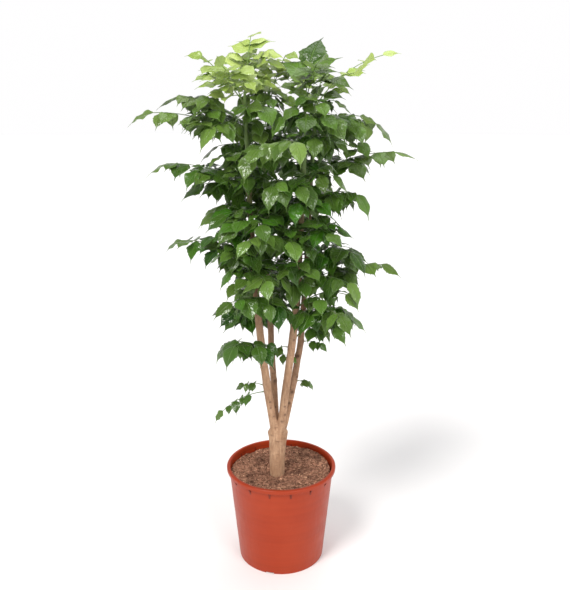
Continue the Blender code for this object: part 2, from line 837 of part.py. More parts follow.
def crown_plan():
    """Every leaf of the plant by name, placed one after the other where there is room."""
    room = Room()
    spread = 1.0 / math.cos(math.pi / STEM_SIDES)  # to a flat-sided ring's corners from its flats
    for rows in (TRUNK, *STEMS.values()):
        room.add([ring_at(x, y, z, spread * (radius + CLEAR_STEM), STEM_SIDES) for x, y, z, radius in rows])
    leaves = {}

    def settle(group, i, stem, z, heading, habit):
        seed = SEED + GROUP_SEEDS[group] + SEED_STEP * i
        leaves[f"{group}_{i + 1:02d}"] = settle_leaf(stem, z, heading, habit, room, seed)

    for group, rows in (("sprig", LOW_SPRIGS), ("top_leaf", TOP_LEAVES), ("side_leaf", SIDE_LEAVES)):
        for i, (stem, z, heading, rise, bend, axis, size) in enumerate(rows):
            habit = Habit(axis, math.radians(rise), math.radians(bend), size, kind_of(group, axis, size))
            settle(group, i, stem, z, math.radians(heading), habit)
    for i in range(MAIN_LEAVES):
        z = MAIN_LOWEST + (MAIN_HIGHEST - MAIN_LOWEST) * i / (MAIN_LEAVES - 1)
        stem = STEM_ORDER[i % len(STEM_ORDER)]
        heading = FIRST_HEADING + GOLDEN_ANGLE * i
        chance = random.Random(SEED + GROUP_SEEDS["habit"] + i)
        settle("leaf", i, stem, z, heading, main_habit(stem, z, heading, chance))
    return {name: leaf for name, leaf in leaves.items() if leaf}


# Making a planned leaf solid: everything is extruded from its parent's faces


def extrude_to(builder, face, corners):
    """Extrudes the face to these corners, paired so that the run does not twist."""
    top = bmesh.ops.extrude_discrete_faces(builder, faces=[face])["faces"][0]
    verts = list(top.verts)
    old = [vert.co.copy() for vert in verts]
    middle = sum(old, Vector()) / 4
    aim = sum(corners, Vector()) / 4

    def agreement(turn):
        return sum((old[i] - middle).dot(corners[(i + turn) % 4] - aim) for i in range(4))

    turn = max(range(4), key=agreement)
    for i, vert in enumerate(verts):
        vert.co = corners[(i + turn) % 4]
    return top


def side_faces(top, frame):
    """The left and right side faces of the block that ends in this face."""
    sides = [loop.link_loop_radial_next.face for loop in top.loops]
    left = frame.col[1].to_3d()
    sides.sort(key=lambda face: face.calc_center_median().dot(left))
    return sides[-1], sides[0]


def grow_blade(builder, face, blade):
    for corners in blade.rings():
        face = extrude_to(builder, face, corners)


def grow_stalk(builder, face, stalk):
    shares = stalk.shares()
    for i, share in enumerate(stalk.nodes):
        face = extrude_to(builder, face, stalk.ring(shares[2 * i]))
        face = extrude_to(builder, face, stalk.ring(shares[2 * i + 1]))
        roots = side_faces(face, stalk.arc.at(share))
        for root, child in zip(roots, stalk.pairs[share]):
            grow(builder, root, child)
    face = extrude_to(builder, face, stalk.ring(1.0))
    grow(builder, face, stalk.end)


def grow(builder, face, child):
    if isinstance(child, Blade):
        grow_blade(builder, face, child)
    elif isinstance(child, Stalk):
        grow_stalk(builder, face, child)


def make_leaf(name, leaf, colour):
    builder = bmesh.new()
    thick = leaf.axis.thick
    verts = [builder.verts.new(point) for point in ring(leaf.axis.root, thick, thick)]
    seed_face = builder.faces.new(verts)
    grow_stalk(builder, seed_face, leaf.axis)
    builder.faces.new(reversed(verts))
    bmesh.ops.remove_doubles(builder, verts=builder.verts, dist=1e-5)
    return add_object(name, mesh_of(builder), colour)


def main():
    clear_scene()
    make_pot()
    make_soil()
    make_trunk()
    for stem in STEMS:
        make_shoot(stem)
    for name, leaf in crown_plan().items():
        colour = "young leaf" if name.startswith("top") else "leaf"
        make_leaf(name, leaf, colour)


main()
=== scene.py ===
"""The looks of a potted radermachera: a plastic nursery pot, its potting soil, a short
trunk that divides into four stems, and a tall crown of twice-divided glossy leaves.

Units are metres and +Z is up. The side that faces the viewer is -Y. The layout of the
stems and leaves follows the solids' own rules, so each finer piece lies where its node is.
"""

import json
import math
import random

import bmesh
import bpy
import numpy as np
from mathutils import Matrix, Vector, noise
from mathutils.bvhtree import BVHTree

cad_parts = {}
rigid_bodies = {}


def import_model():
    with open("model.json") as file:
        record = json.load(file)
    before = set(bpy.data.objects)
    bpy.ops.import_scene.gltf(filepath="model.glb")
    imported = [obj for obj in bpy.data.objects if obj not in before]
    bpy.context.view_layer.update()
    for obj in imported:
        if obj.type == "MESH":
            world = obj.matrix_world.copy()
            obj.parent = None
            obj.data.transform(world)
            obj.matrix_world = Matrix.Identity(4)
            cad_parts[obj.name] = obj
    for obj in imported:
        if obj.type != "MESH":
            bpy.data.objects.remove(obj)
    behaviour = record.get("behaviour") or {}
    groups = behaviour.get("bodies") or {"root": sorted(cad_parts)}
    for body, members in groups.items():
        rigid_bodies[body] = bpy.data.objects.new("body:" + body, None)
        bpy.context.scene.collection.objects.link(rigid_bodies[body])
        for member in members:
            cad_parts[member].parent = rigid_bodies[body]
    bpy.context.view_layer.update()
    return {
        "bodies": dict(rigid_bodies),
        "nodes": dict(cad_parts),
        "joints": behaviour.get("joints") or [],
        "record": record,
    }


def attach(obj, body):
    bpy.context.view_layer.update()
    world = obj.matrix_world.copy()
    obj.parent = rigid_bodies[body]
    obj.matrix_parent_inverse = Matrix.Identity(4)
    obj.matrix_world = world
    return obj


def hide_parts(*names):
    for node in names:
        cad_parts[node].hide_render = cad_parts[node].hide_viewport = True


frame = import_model()

GAP = 0.0003  # between pieces that touch
JOIN_WITHIN = 0.000001  # points that lie this close are one

# Pot
POT_HEIGHT = 0.278
RIM_RADIUS = 0.155
LIP_INNER_RADIUS = 0.1455
LIP_HEIGHT = 0.0115
WALL_TOP_RADIUS = 0.1475
BASE_RADIUS = 0.121
WALL = 0.0026
FOOT_WIDTH = 0.016
FOOT_RISE = 0.0045
FOOT_DRAFT = 0.002
CENTRE_DISC_RADIUS = 0.030
RIBS = 16
RIB_TURN = math.radians(-90 + 10.5)
RIB_DROP = 0.017
RIB_STRAIGHT = 0.2  # of its drop that it runs straight down
RIB_REACH = 0.0045
RIB_THICKNESS = 0.003
NOTCHES = 3
NOTCH_TURN = math.radians(-90 - 15)
NOTCH_WIDTH = 0.024
NOTCH_REACH = 0.042
DRAIN_HOLES = 6
DRAIN_SIDES = 8
DRAIN_RADIUS = 0.007
DRAIN_CIRCLE = 0.072
CUT_BEYOND = 0.005  # how far a cutter stands out of what it cuts
TURNED_SIDES = 168
WALL_RINGS = 40
WALL_BAND = 0.00012  # how far its faint bands stand out
WALL_BEATS = (0.9, 0.37)  # radians of its two waves from one ring to the next
LIP_EDGE_INSIDE = (0.0012, 3)  # the radius and the steps that the lip's edges are rounded with
LIP_EDGE_OUTSIDE = (0.0042, 8)
LIP_SKIRT = ((0.0004, 0.0022), (0.0008, 0.0004), (0.0014, 0.0))  # in from the rim, up from the lip's foot
LIP_FILLET = 0.0006
FOOT_EDGE = 0.0010
POT_SHARP_ANGLE = math.radians(38)
# painted shade beside each gusset, where its shadow falls on the wall: how far from its middle it starts and
# ends
RIB_SHADE_FROM = 0.028  # of a gusset's spacing, from its middle
RIB_SHADE_TO = 0.066

# Soil
SOIL_TOP = 0.264
SOIL_HOLLOW = 0.009  # how much lower it lies at the trunk
SOIL_SHRINK = 0.004  # how far its top edge stands off the wall
SOIL_EDGE_SWAY = 0.7  # how much that varies round the edge
SOIL_SHOULDER = 0.016  # how far below its top it meets the wall
HOLLOW_WIDTH = 0.05
SOIL_WAVE = 0.0025
SOIL_WAVE_TURN = 14.0  # radians a metre
SOIL_TILT = 0.026  # metres of fall a metre towards the back
SOIL_LUMP = 0.0022
SOIL_LUMP_WIDTH = 0.036
HOLE_FLOOR = 0.130
SOIL_SPOKES = 220
SOIL_STEPS = 62
SOIL_STEP_POWER = 0.85  # its rings crowd a little towards the edge
SOIL_OVERLAP = 0.003  # how far it reaches into the trunk
CRUMBS = ((0.0026, 80.0), (0.0016, 220.0))  # their height, and waves a metre
CHIPS = 2300
CHIP_SEED = 500
CHIP_SIZE = 0.0022
CHIP_MORE = 0.0052  # how much larger the largest is
CHIP_SIZE_POWER = 2.2  # most are small
CHIP_SPANS = ((0.8, 2.0), (0.4, 0.9), (0.15, 0.4))  # length, width and thickness over the size
CHIP_CORNERS = (0.55, 1.0)  # how far out its corners stand
CHIP_TIP = 16  # degrees that it lies askew, as a standard deviation
CHIP_LEAN = 14
CHIP_LIFT = 0.10  # of its size, from the soil to its middle
CHIP_REACH = 0.985  # of the way to the soil's edge
CHIP_CLEAR = 0.003  # from the trunk
CHIP_FACES = ((0, 1, 3, 2), (4, 6, 7, 5), (0, 4, 5, 1), (2, 3, 7, 6), (0, 2, 6, 4), (1, 5, 7, 3))
LIGHT_CHIPS = 0.13  # the share that is pale
LIGHT_TONES = (0.6, 1.0)
DARK_TONES = (0.0, 0.45)

# Trunk and stems: (x, y, z, radius) along each, from the bottom up
STEM_SIDES = 12
TRUNK = (
    (-0.0110, -0.0200, HOLE_FLOOR + GAP, 0.0190),
    (-0.0110, -0.0200, 0.245, 0.0212),
    (-0.0110, -0.0195, 0.300, 0.0216),
    (-0.0105, -0.0165, 0.345, 0.0232),
    (-0.0092, -0.0130, 0.370, 0.0268),
    (-0.0088, -0.0125, 0.383, 0.0262),
    (-0.0085, -0.0120, 0.395, 0.0215),
)
STEMS = {
    "a": (
        (-0.0160, -0.0210, 0.360, 0.0100),
        (-0.0195, -0.0240, 0.400, 0.0112),
        (-0.0340, -0.0320, 0.500, 0.0110),
        (-0.0500, -0.0400, 0.624, 0.0105),
        (-0.0660, -0.0460, 0.800, 0.0092),
        (-0.0740, -0.0490, 0.950, 0.0078),
        (-0.0790, -0.0510, 1.050, 0.0068),
        (-0.0830, -0.0530, 1.160, 0.0052),
        (-0.0870, -0.0550, 1.290, 0.0030),
    ),
    "b": (
        (-0.0120, 0.0020, 0.360, 0.0085),
        (-0.0135, 0.0060, 0.400, 0.0093),
        (-0.0190, 0.0140, 0.500, 0.0092),
        (-0.0275, 0.0240, 0.624, 0.0088),
        (-0.0300, 0.0330, 0.800, 0.0078),
        (-0.0360, 0.0410, 0.920, 0.0070),
        (-0.0395, 0.0460, 1.050, 0.0062),
        (-0.0360, 0.0520, 1.160, 0.0048),
        (-0.0290, 0.0570, 1.310, 0.0028),
    ),
    "c": (
        (-0.0030, -0.0240, 0.360, 0.0105),
        (0.0010, -0.0270, 0.410, 0.0113),
        (0.0110, -0.0310, 0.500, 0.0109),
        (0.0270, -0.0360, 0.624, 0.0104),
        (0.0430, -0.0400, 0.780, 0.0092),
        (0.0500, -0.0420, 0.930, 0.0078),
        (0.0545, -0.0440, 1.050, 0.0067),
        (0.0590, -0.0460, 1.150, 0.0052),
        (0.0600, -0.0490, 1.290, 0.0030),
    ),
    "d": (
        (0.0000, -0.0020, 0.360, 0.0085),
        (0.0130, 0.0080, 0.410, 0.0093),
        (0.0350, 0.0200, 0.515, 0.0092),
        (0.0540, 0.0310, 0.627, 0.0088),
        (0.0670, 0.0400, 0.800, 0.0079),
        (0.0740, 0.0460, 0.950, 0.0068),
        (0.0780, 0.0500, 1.050, 0.0060),
        (0.0840, 0.0550, 1.150, 0.0047),
        (0.0900, 0.0600, 1.275, 0.0028),
    ),
}
WOOD_TOP = 1.050  # above it each stem is a green shoot
BUD_LENGTH = 4  # times its root's radius
BUD_TIP = 0.35  # likewise
BUD_ROOT = 1.05
BUD_SHARES = (0.25, 0.5, 0.75, 1.0)
VOXEL = 0.0020
BARK_STEP = 0.004
BARK_SIDES = (40, 24)  # of the trunk's tube and of a stem's
SMOOTHINGS = 3
# the bark's relief: height, waves a metre along each axis, seed
BARK_RELIEF = ((0.00055, (95.0, 95.0, 26.0), 3.1), (0.00030, (240.0, 240.0, 110.0), 8.7))
FOOT_RELIEF = (0.00110, (30.0, 30.0, 16.0), 5.3)
FOOT_RELIEF_RUN = (0.42, 0.36)  # the heights where it starts and where it is full
KNOT_RIM = (0.22, 0.85, 0.35)  # height, place and width of a knot's rim, over the knot's radius
KNOT_PIT = (0.10, 0.40)  # depth and width of the pit in it
KNOT_SCAR = 0.62
LEAF_FOOT = (0.0011, 0.009)  # height and width of the swelling that a leaf stands on
LEAF_FOOT_SCAR = 0.25
LEAF_FOOT_OVER = 0.010  # how far above the wood's top a leaf still has one
RING_MARK = 0.0005
RING_MARK_NOISE = ((1.0, 1.0, 55.0), 1.7)
RING_MARK_FROM = 0.25
RING_MARK_APART = 7.0  # between one stem's noise and the next one's
# bumps at the collar where the stems part: place, width and height
COLLAR_BUMPS = (
    ((-0.0350, -0.0150, 0.381), 0.0075, 0.0024),
    ((0.0175, -0.0160, 0.384), 0.0080, 0.0026),
    ((-0.0090, -0.0390, 0.374), 0.0110, 0.0014),
    ((-0.0200, 0.0130, 0.380), 0.0090, 0.0020),
    ((0.0080, 0.0110, 0.372), 0.0080, 0.0018),
)
# leaf scars and knots on the stems: stem, height, heading in degrees, radius
KNOTS = (
    ("a", 0.588, 180, 0.0060),
    ("a", 0.484, -81, 0.0050),
    ("a", 0.466, -88, 0.0040),
    ("a", 0.440, -60, 0.0034),
    ("b", 0.564, 190, 0.0070),
    ("b", 0.526, -65, 0.0080),
    ("b", 0.451, -95, 0.0050),
    ("c", 0.664, -70, 0.0050),
    ("c", 0.470, -75, 0.0050),
    ("c", 0.445, -57, 0.0060),
    ("c", 0.425, -95, 0.0055),
    ("d", 0.596, -120, 0.0085),
    ("d", 0.536, -51, 0.0060),
    ("d", 0.493, -90, 0.0085),
    ("d", 0.461, -100, 0.0065),
)
# where the bark turns brown and then green: heights from and to, and how much
BROWN = (0.62, 0.97, 0.85)
BACK_BROWN = (0.44, 0.56, 0.50)  # more on the stems behind
BACK_STEMS = ("b", "d")
PATCHES = (0.40, 0.50, 0.28)
PATCH_NOISE = ((22.0, 22.0, 11.0), 2.2)
GREEN = (0.93, 1.07, 0.80)
SHOOT_STEP = 0.003
SHOOT_SIDES = 14
SHOOT_BROWN = 0.07  # how far above the wood the shoots are still brown
SWELLING = (0.22, 0.006)  # of a shoot where a leaf stands: height over its radius, and length
SWELLING_REACH = (2.2, 0.002)  # how far off its axis a leaf's foot counts: times its radius, and more

# Compound leaves
SEED = 1067
GROUP_SEEDS = {"sprig": 0, "top_leaf": 1000, "side_leaf": 3000, "habit": 5000, "leaf": 10000}
SEED_STEP = 20  # from one leaf to the next, wider than the tries that a leaf gets
MAIN_LEAVES = 30
MAIN_LOWEST = 0.650
MAIN_HIGHEST = 1.215
STEM_ORDER = "acbd"  # the main leaves go round the stems, from the lowest up
GOLDEN_ANGLE = math.radians(137.508)
FIRST_HEADING = math.radians(-118)
SHORTEST_AXIS = 0.105
TIP_REACH = 0.035  # how much further than its axis a leaf's tip reaches
LONGEST_AXIS = 0.255
AXIS_SHARES = (1.0, 0.90, 0.78)  # of the way to the crown's edge
BLADE_LENGTH = 0.070
BLADE_BREADTH = 0.32  # half width over length
BLADE_THICKNESS = 0.0008
BLADE_STATIONS = ((0.30, 0.98), (0.64, 0.70), (1.0, 0.0))  # share of length, share of width
ROOT_CLEAR = 0.0035  # how far from its root room for a piece starts to be looked at
PETIOLE_RADIUS = 0.0020
RACHIS_RADIUS = 0.0012
PINNA_RADIUS = 0.0010
THIN_FROM = 0.62  # share of its length where a stalk is at its thinnest
SLIMMEST = 0.35  # a leaf of size s has stalks 0.35 + s times as thick, and at most once
NODE_LENGTH = 0.0036
PINNA_LENGTH = 0.058
PINNA_BEND = math.radians(22)
PINNA_NODE = 0.52
PINNA_SPREAD = math.radians(56)
LEAFLET_SPREAD = math.radians(74)
CROWN_DEPTH = 0.240  # how far the leaf tips reach to the front and the back
# how far they reach to the sides: (height, to -X, to +X)
REACH = (
    (0.60, 0.215, 0.150),
    (0.69, 0.210, 0.235),
    (0.76, 0.230, 0.290),
    (0.845, 0.245, 0.310),
    (0.90, 0.285, 0.235),
    (0.95, 0.280, 0.245),
    (1.04, 0.240, 0.255),
    (1.09, 0.300, 0.320),
    (1.155, 0.285, 0.290),
    (1.20, 0.240, 0.285),
    (1.245, 0.330, 0.220),
    (1.30, 0.270, 0.190),
)
# the leaves that close the crown: stem, height, heading, rise, bend, axis length, size
TOP_LEAVES = (
    ("a", 1.272, 166, 54, 14, 0.150, 0.80),
    ("a", 1.283, 70, 82, 14, 0.150, 0.92),
    ("b", 1.300, 150, 74, 20, 0.130, 0.72),
    ("c", 1.285, 68, 74, 6, 0.080, 1.24),
    ("d", 1.268, 5, 58, 44, 0.215, 0.62),
    ("c", 1.262, -74, 66, 34, 0.130, 0.90),
    ("b", 1.285, 210, 66, 26, 0.125, 0.80),
    ("d", 1.250, 76, 62, 40, 0.165, 0.84),
    ("a", 1.255, 248, 60, 40, 0.150, 0.88),
    ("b", 1.270, -42, 76, 22, 0.130, 0.76),
)
# long leaves that stand out at the crown's sides, in the same terms
SIDE_LEAVES = (
    ("a", 1.185, 178, 34, 36, 0.235, 0.92),
    ("a", 1.222, 170, 38, 30, 0.175, 0.94),
    ("d", 1.090, -4, 32, 32, 0.220, 1.00),
    ("a", 1.075, 184, 32, 34, 0.205, 0.96),
    ("a", 0.880, 176, 34, 36, 0.185, 0.94),
    ("d", 0.800, -6, 34, 36, 0.205, 0.94),
)
# the small shoots low on the stems: stem, height, heading, rise, bend, axis length, size
LOW_SPRIGS = (
    ("a", 0.512, 190, -2, 42, 0.125, 0.50),
    ("a", 0.530, 168, 18, 40, 0.055, 0.42),
    ("b", 0.600, -14, 12, 30, 0.045, 0.38),
    ("c", 0.640, 168, 10, 60, 0.040, 0.46),
    ("d", 0.635, -8, 10, 30, 0.045, 0.42),
    ("d", 0.520, 20, 10, 50, 0.034, 0.40),
)
# the kinds of leaf: nodes with a side axis, nodes with a pair of leaflets, and how far
# below level the leaflets point, from the least to the most
MAIN_KIND = ([0.33], [0.60, 0.81], (20, 46))
SIDE_KIND = ([0.33], [0.60, 0.81], (4, 28))
TOP_KIND = ([0.46], [0.76], (-38, 14))
UPRIGHT_KIND = ([], [0.56], (-72, -40))
UPRIGHT_SIZE = 1.1  # a larger top leaf than this is of the upright kind
SPRIG_KIND = ([], [0.34, 0.64], (15, 50))
SMALL_SPRIG_KIND = ([], [0.50], (15, 50))
SMALL_SPRIG_AXIS = 0.1  # a sprig with a shorter axis is of the small kind
MAIN_RISE = (34, 54)  # degrees above level that a main leaf starts at
MAIN_DROOP = (2, 22)  # degrees below level that it ends at
MAIN_SIZE = (0.90, 1.10)
BLADE_BEND = (22, 44)  # degrees that a leaflet arches over
BLADE_ROLL = (-12, 12)
BLADE_TURN = (-7, 7)
BLADE_SIZE = (0.86, 1.12)
PINNA_LIFT = 0.45  # of its parent's rise
PINNA_SWAY = (-8, 8)
PINNA_SIZE = (0.9, 1.15)
PINNA_LEAFLETS = 0.94  # their size, over that of the leaf's others
# where else a leaflet may hang: degrees further down, degrees of roll, and size
BLADE_TRIES = (
    (0, 0, 1.0), (14, 0, 1.0), (-12, 0, 1.0), (6, 22, 1.0), (6, -22, 1.0), (26, 10, 0.92), (-22, -10, 0.92),
    (20, -28, 0.85), (-10, 28, 0.85), (34, 0, 0.78), (-30, 0, 0.72),
)
# where else a leaf may start: degrees round its stem and metres up
BASE_TRIES = (
    (0, 0.0), (10, 0.0), (-10, 0.0), (0, 0.012), (0, -0.012), (20, 0.006), (-20, -0.006), (32, 0.0),
    (-32, 0.0), (15, 0.018), (-15, -0.018), (45, 0.006), (-45, -0.006),
)
# clearances kept between the parts of the crown
CLEAR_ACROSS = 0.0012
CLEAR_THROUGH = 0.0022
CLEAR_OWN = 0.0005
CLEAR_STEM = 0.0002

# What the fine crown has beyond the solids: each kind of leaf gets more side axes and pairs
# of leaflets, given as (share of the main axis, size), and so does each side axis
EXTRA_PINNAE = {
    "leaf": ((0.47, 0.85), (0.20, 0.70)),
    "side_leaf": ((0.47, 0.85),),
    "top_leaf": ((0.28, 0.80), (0.62, 0.80)),
    "sparse_leaf": (),
    "inner_leaf": ((0.62, 0.75),),
    "sprig": (),
}
EXTRA_PAIRS = {
    "leaf": ((0.71, 0.85), (0.91, 0.75)),
    "side_leaf": ((0.91, 0.75),),
    "top_leaf": ((0.88, 0.75),),
    "sparse_leaf": (),
    "inner_leaf": ((0.25, 0.75),),
    "sprig": ((0.48, 0.8), (0.82, 0.8)),
}
PINNA_PAIRS = ((0.80, 0.75),)
SPARSE_LEAVES = ("top_leaf_04", "top_leaf_05")  # these carry their solids' leaflets only
LEAFLET_SCALES = {"top_leaf_04": 1.22, "top_leaf_05": 1.35, "side_leaf": 1.12, "sprig": 1.25}
# where else a further side axis may point: degrees of turn and of rise
PINNA_TRIES = (
    (0, 0), (12, 0), (-12, 0), (0, 22), (0, -22), (14, 34), (-14, -34), (8, 48), (24, 12), (-24, -12),
)
EXTRA_SEED = 40000
BOTH_SIDES = (LEAFLET_SPREAD, -LEAFLET_SPREAD)
FINE_ACROSS = 0.0005
FINE_THROUGH = 0.0009
INNER_LEAVES = 72
INNER_LEAST = 4
INNER_LOWEST = 0.76
INNER_HIGHEST = 1.225
INNER_SHARE = (0.42, 1.0)  # of a main leaf's axis
SHORTEST_INNER = 0.07
INNER_SIZE = 0.86
INNER_KIND = ([0.40], [0.74], (0, 44))
INNER_SEED = 60000
GOLDEN_SHARE = 0.618034
# short leaves that stand before the front stems
FRONT_LEAVES = 18
FRONT_STEMS = "acb"
FRONT_LOWEST = 0.84
FRONT_HIGHEST = 1.272
FRONT_SWING = (-38, 38)
FRONT_AXIS = (0.060, 0.105)
FRONT_RISE = (22, 48)
FRONT_BEND = (40, 66)
FRONT_SIZE = 0.95
FRONT_SEED = 80000
FULL_RUN = 1200  # faces in one sorted run of the room

# Fine leaflets
ALONG = 15  # steps from a leaflet's base to its tip
ACROSS = 6  # steps from edge to edge
LEAFLET_BODY = 0.80  # share of its length before the drip tip
WIDEST_AT = 0.32
TIP_BREADTH = 0.19
TIP_FROM = 0.4
TIP_RUN = 0.5
BODY_POWER = 0.9  # under 1, its sides are fuller than a sine's
SHOULDER_POWER = 3  # how closely body and tip are joined
LAST_STATION = 0.95  # the last row of points before the tip
# spans that each leaflet's shape is drawn from, over its half width or its length
WIDTHS = (0.80, 1.02)
FOLD = (0.10, 0.34)
DROOP = (0.10, 0.30)
RUFFLE = (0.05, 0.16)
RUFFLE_BEATS = (1.6, 2.8)
SWAY = (-0.10, 0.10)
TWIST = (-0.35, 0.35)
TIP_CURL = (0.0, 0.10)
TIP_CURL_FROM = 0.6
TOOTHED = 0.55  # the share of leaflets with teeth
TOOTH = 0.06
TEETH = (0.10, 0.84)  # where along the leaflet they begin and end
TEETH_FADE = 0.1
MIDRIB = 0.0004
MIDRIB_NARROW = 5.0
MIDRIB_UNDER = 1.5  # how much more it stands out below than it lies in above
BLADE_SLOT = 0  # which of a leaf's two materials
STALK_SLOT = 1
STALK_TONE = 0.5
# leaflets turn their faces to the light: where it comes from, and how far they roll at most
LIGHT_FROM = Vector((-0.35, -1.0, 0.45)).normalized()
LIGHT_SHARE = 0.6
MAIN_ROLL = math.radians(16)
YOUNG_ROLL = math.radians(38)
LOOSE_ROLL = math.radians(13)
LEAFLET_HALF_THICKNESS = 0.00028
EDGE_POWER = 4  # how late it thins out towards its edge
OWN_STALK = ((-0.02, 0.0008), (0.03, 0.0007), (0.10, 0.0004))  # share of the leaflet's arc, radius
OWN_STALK_SIDES = 5
LEAF_SHARP_ANGLE = math.radians(75)
OUTER_FROM = 0.15  # leaflets that stand further out than this are paler
OUTER_RUN = 0.16
OUTER_PALER = 0.13
STALK_SLIM = 0.80  # how much slimmer the fine stalks are than the solids'
SINK = 0.004  # how far a stalk's root goes into its stem
ROOT_SWELLING = (0.45, 0.006)  # of a stalk: height over its radius, and length
NODE_SWELLING = (0.28, 0.004)
AXIS_SIDES = 8
AXIS_STEP = 0.008
FEWEST_STEPS = 10
PINNA_SIDES = 6
PINNA_STEPS = 8
NAME_SEED = 71  # a leaf's seed grows by this with each letter of its name
# how young leaves are, from 0 to 1
SPRIG_AGE = 0.12
MAIN_AGE = (0.02, 0.16, 0.4)  # up to the wood's top, and how much more over which height above it
MAIN_AGE_SWAY = (0.0, 0.10)
TOP_AGE = (0.72, 1.2, 1.24)  # at the last value's height, and how much more a metre above it
TOP_AGE_SWAY = (-0.10, 0.12)
LEAFLET_AGE_SWAY = (-0.06, 0.06)
DARK_TOP_LEAVES = {"top_leaf_04": 0.12, "top_leaf_06": 0.20, "top_leaf_08": 0.40}

# Colours as linear red, green and blue: a pair is mixed by a tone, an age or a noise
LEAF_DARK = ((0.008, 0.040, 0.002), (0.048, 0.168, 0.005))
LEAF_MOTTLE = (0.025, 0.098, 0.004)
LEAF_YOUNG = ((0.34, 0.49, 0.080), (0.57, 0.69, 0.20))
LEAF_VEIN = ((0.20, 0.36, 0.08), (0.66, 0.76, 0.30))
LEAF_UNDER = ((0.120, 0.210, 0.055), (0.40, 0.54, 0.17))
STALK_GREEN = ((0.060, 0.130, 0.025), (0.20, 0.34, 0.06))
STALK_BROWN = (0.13, 0.16, 0.05)
BARK_TAN = ((0.33, 0.180, 0.098), (0.61, 0.385, 0.240))
BARK_PATCH = (0.38, 0.205, 0.110)
BARK_BROWN = ((0.105, 0.052, 0.030), (0.25, 0.140, 0.080))
BARK_GREEN = (0.115, 0.165, 0.045)
BARK_SCAR = (0.075, 0.036, 0.022)
BARK_RING = (0.17, 0.088, 0.052)
BARK_SPECK = (0.16, 0.085, 0.05)
SHOOT_GREEN = ((0.085, 0.150, 0.030), (0.18, 0.27, 0.07))
SHOOT_BARK = (0.16, 0.105, 0.055)
POT_RED = ((0.310, 0.029, 0.004), (0.362, 0.035, 0.005))
POT_CLOUD = (0.40, 0.048, 0.011)
POT_SCUFF = (0.50, 0.12, 0.07)
# painted shade: the dark red laid beside the gussets and under the lip
POT_PAINTED_SHADE = (0.11, 0.014, 0.006)
SOIL_EARTH = ((0.055, 0.021, 0.012), (0.560, 0.275, 0.175))
SOIL_GRAIN = (0.68, 0.370, 0.240)
SOIL_DAMP = (0.062, 0.024, 0.015)
CHIP_BARK = ((0.110, 0.044, 0.026), (0.80, 0.460, 0.290))
CHIP_DAMP = (0.085, 0.034, 0.021)
CHIP_GRAIN = (0.34, 0.160, 0.096)
# relief of the materials, in metres
LEAF_RELIEF = 0.0016
STALK_RELIEF = 0.0002
BARK_FINE_RELIEF = 0.0013
SHOOT_RELIEF = 0.0004
POT_BAND_RELIEF = 0.0010
POT_GRAIN_RELIEF = 0.00012
SOIL_RELIEF = 0.0030
CHIP_RELIEF = 0.0006
# side veins of a leaflet: how many, how far forwards they lean and how much they bend
VEINS = 9.0
VEIN_LEAN = 2.0
VEIN_BEND = 1.25
# how strongly veins, the underside's colour, scars, cracks and the painted shade on the pot show, from 0 to
# 1
VEIN_SHOWS = 0.26
UNDER_SHOWS = 0.60
SCAR_SHOWS = 0.85
RING_SHOWS = 0.42
PAINTED_SHADE_SHOWS = 0.72
# heights over that of the veins, of the bark's streaks and of the coarse crumbs
PUCKER = 0.8
FINE_RELIEF_SHARE = 0.5
RING_DEPTH = 0.8
CRUMB_RELIEF_SHARE = 0.4
# how far the noises are stretched along the stems, round them and round the pot
ALONG_STEM = (1.0, 1.0, 0.22)
ALONG_SHOOT = (1.0, 1.0, 0.3)
ROUND_STEM = (0.30, 0.30, 2.4)
ROUND_POT = (0.02, 0.02, 1.0)
DOWN_POT = (1.0, 1.0, 0.15)
# painted shade under the lip, where its shadow falls: how far below it, from nothing to most, and how much
LIP_PAINTED_SHADE = (0.0035, 0.0005, 0.6)
LIP_FADE = 0.0004  # and how far to each side of the lip's foot it fades
RIB_FADE = 0.002  # likewise at a gusset's foot

# The photograph's view, solved for its frame of 570 by 590 pixels
PHOTO_HEIGHT = 590
FOCAL_PIXELS = 700
SENSOR = 36.0
CAMERA_PLACE = (0.0109, -1.817, 1.2494)
CAMERA_PITCH = math.radians(14.62)

# Studio
FLOOR_RADIUS = 40.0
FLOOR_SIDES = 96
FLOOR_COLOUR = (0.93, 0.92, 0.92, 1.0)
FLOOR_ROUGHNESS = 0.85
WHITE = (1.0, 1.0, 1.0)
WALL_COLOUR = (1.0, 0.995, 1.0, 1.0)
WALLS_TO = 0.22  # how far up the walls are white, as a height on a unit sphere
CEILING_FROM = 0.55  # likewise, where the dimmer ceiling is reached
CEILING = 0.32  # its strength over the walls'
# each light's name, source, strength, breadth in degrees and colour
SUNS = (
    ("key", (-0.95, -1.25, 1.9), 2.0, 20, (1.0, 0.985, 0.96)),
    ("fill", (1.0, -1.35, 0.95), 1.10, 30, WHITE),
    ("top", (0.1, 0.3, 1.0), 0.8, 45, WHITE),
)


def mesh_of(builder):
    """The bmesh as mesh data, and the bmesh freed."""
    data = bpy.data.meshes.new("mesh")
    builder.to_mesh(data)
    builder.free()
    return data


def polar(radius, angle, z=0.0):
    return Vector((radius * math.cos(angle), radius * math.sin(angle), z))


def between(rows, key):
    """The row read off a table at this key, its first column, straight between neighbours."""
    for low, high in zip(rows, rows[1:]):
        if key <= high[0]:
            break
    share = min(max((key - low[0]) / (high[0] - low[0]), 0.0), 1.0)
    return [a + (b - a) * share for a, b in zip(low, high)]


# Joining and cutting with Booleans


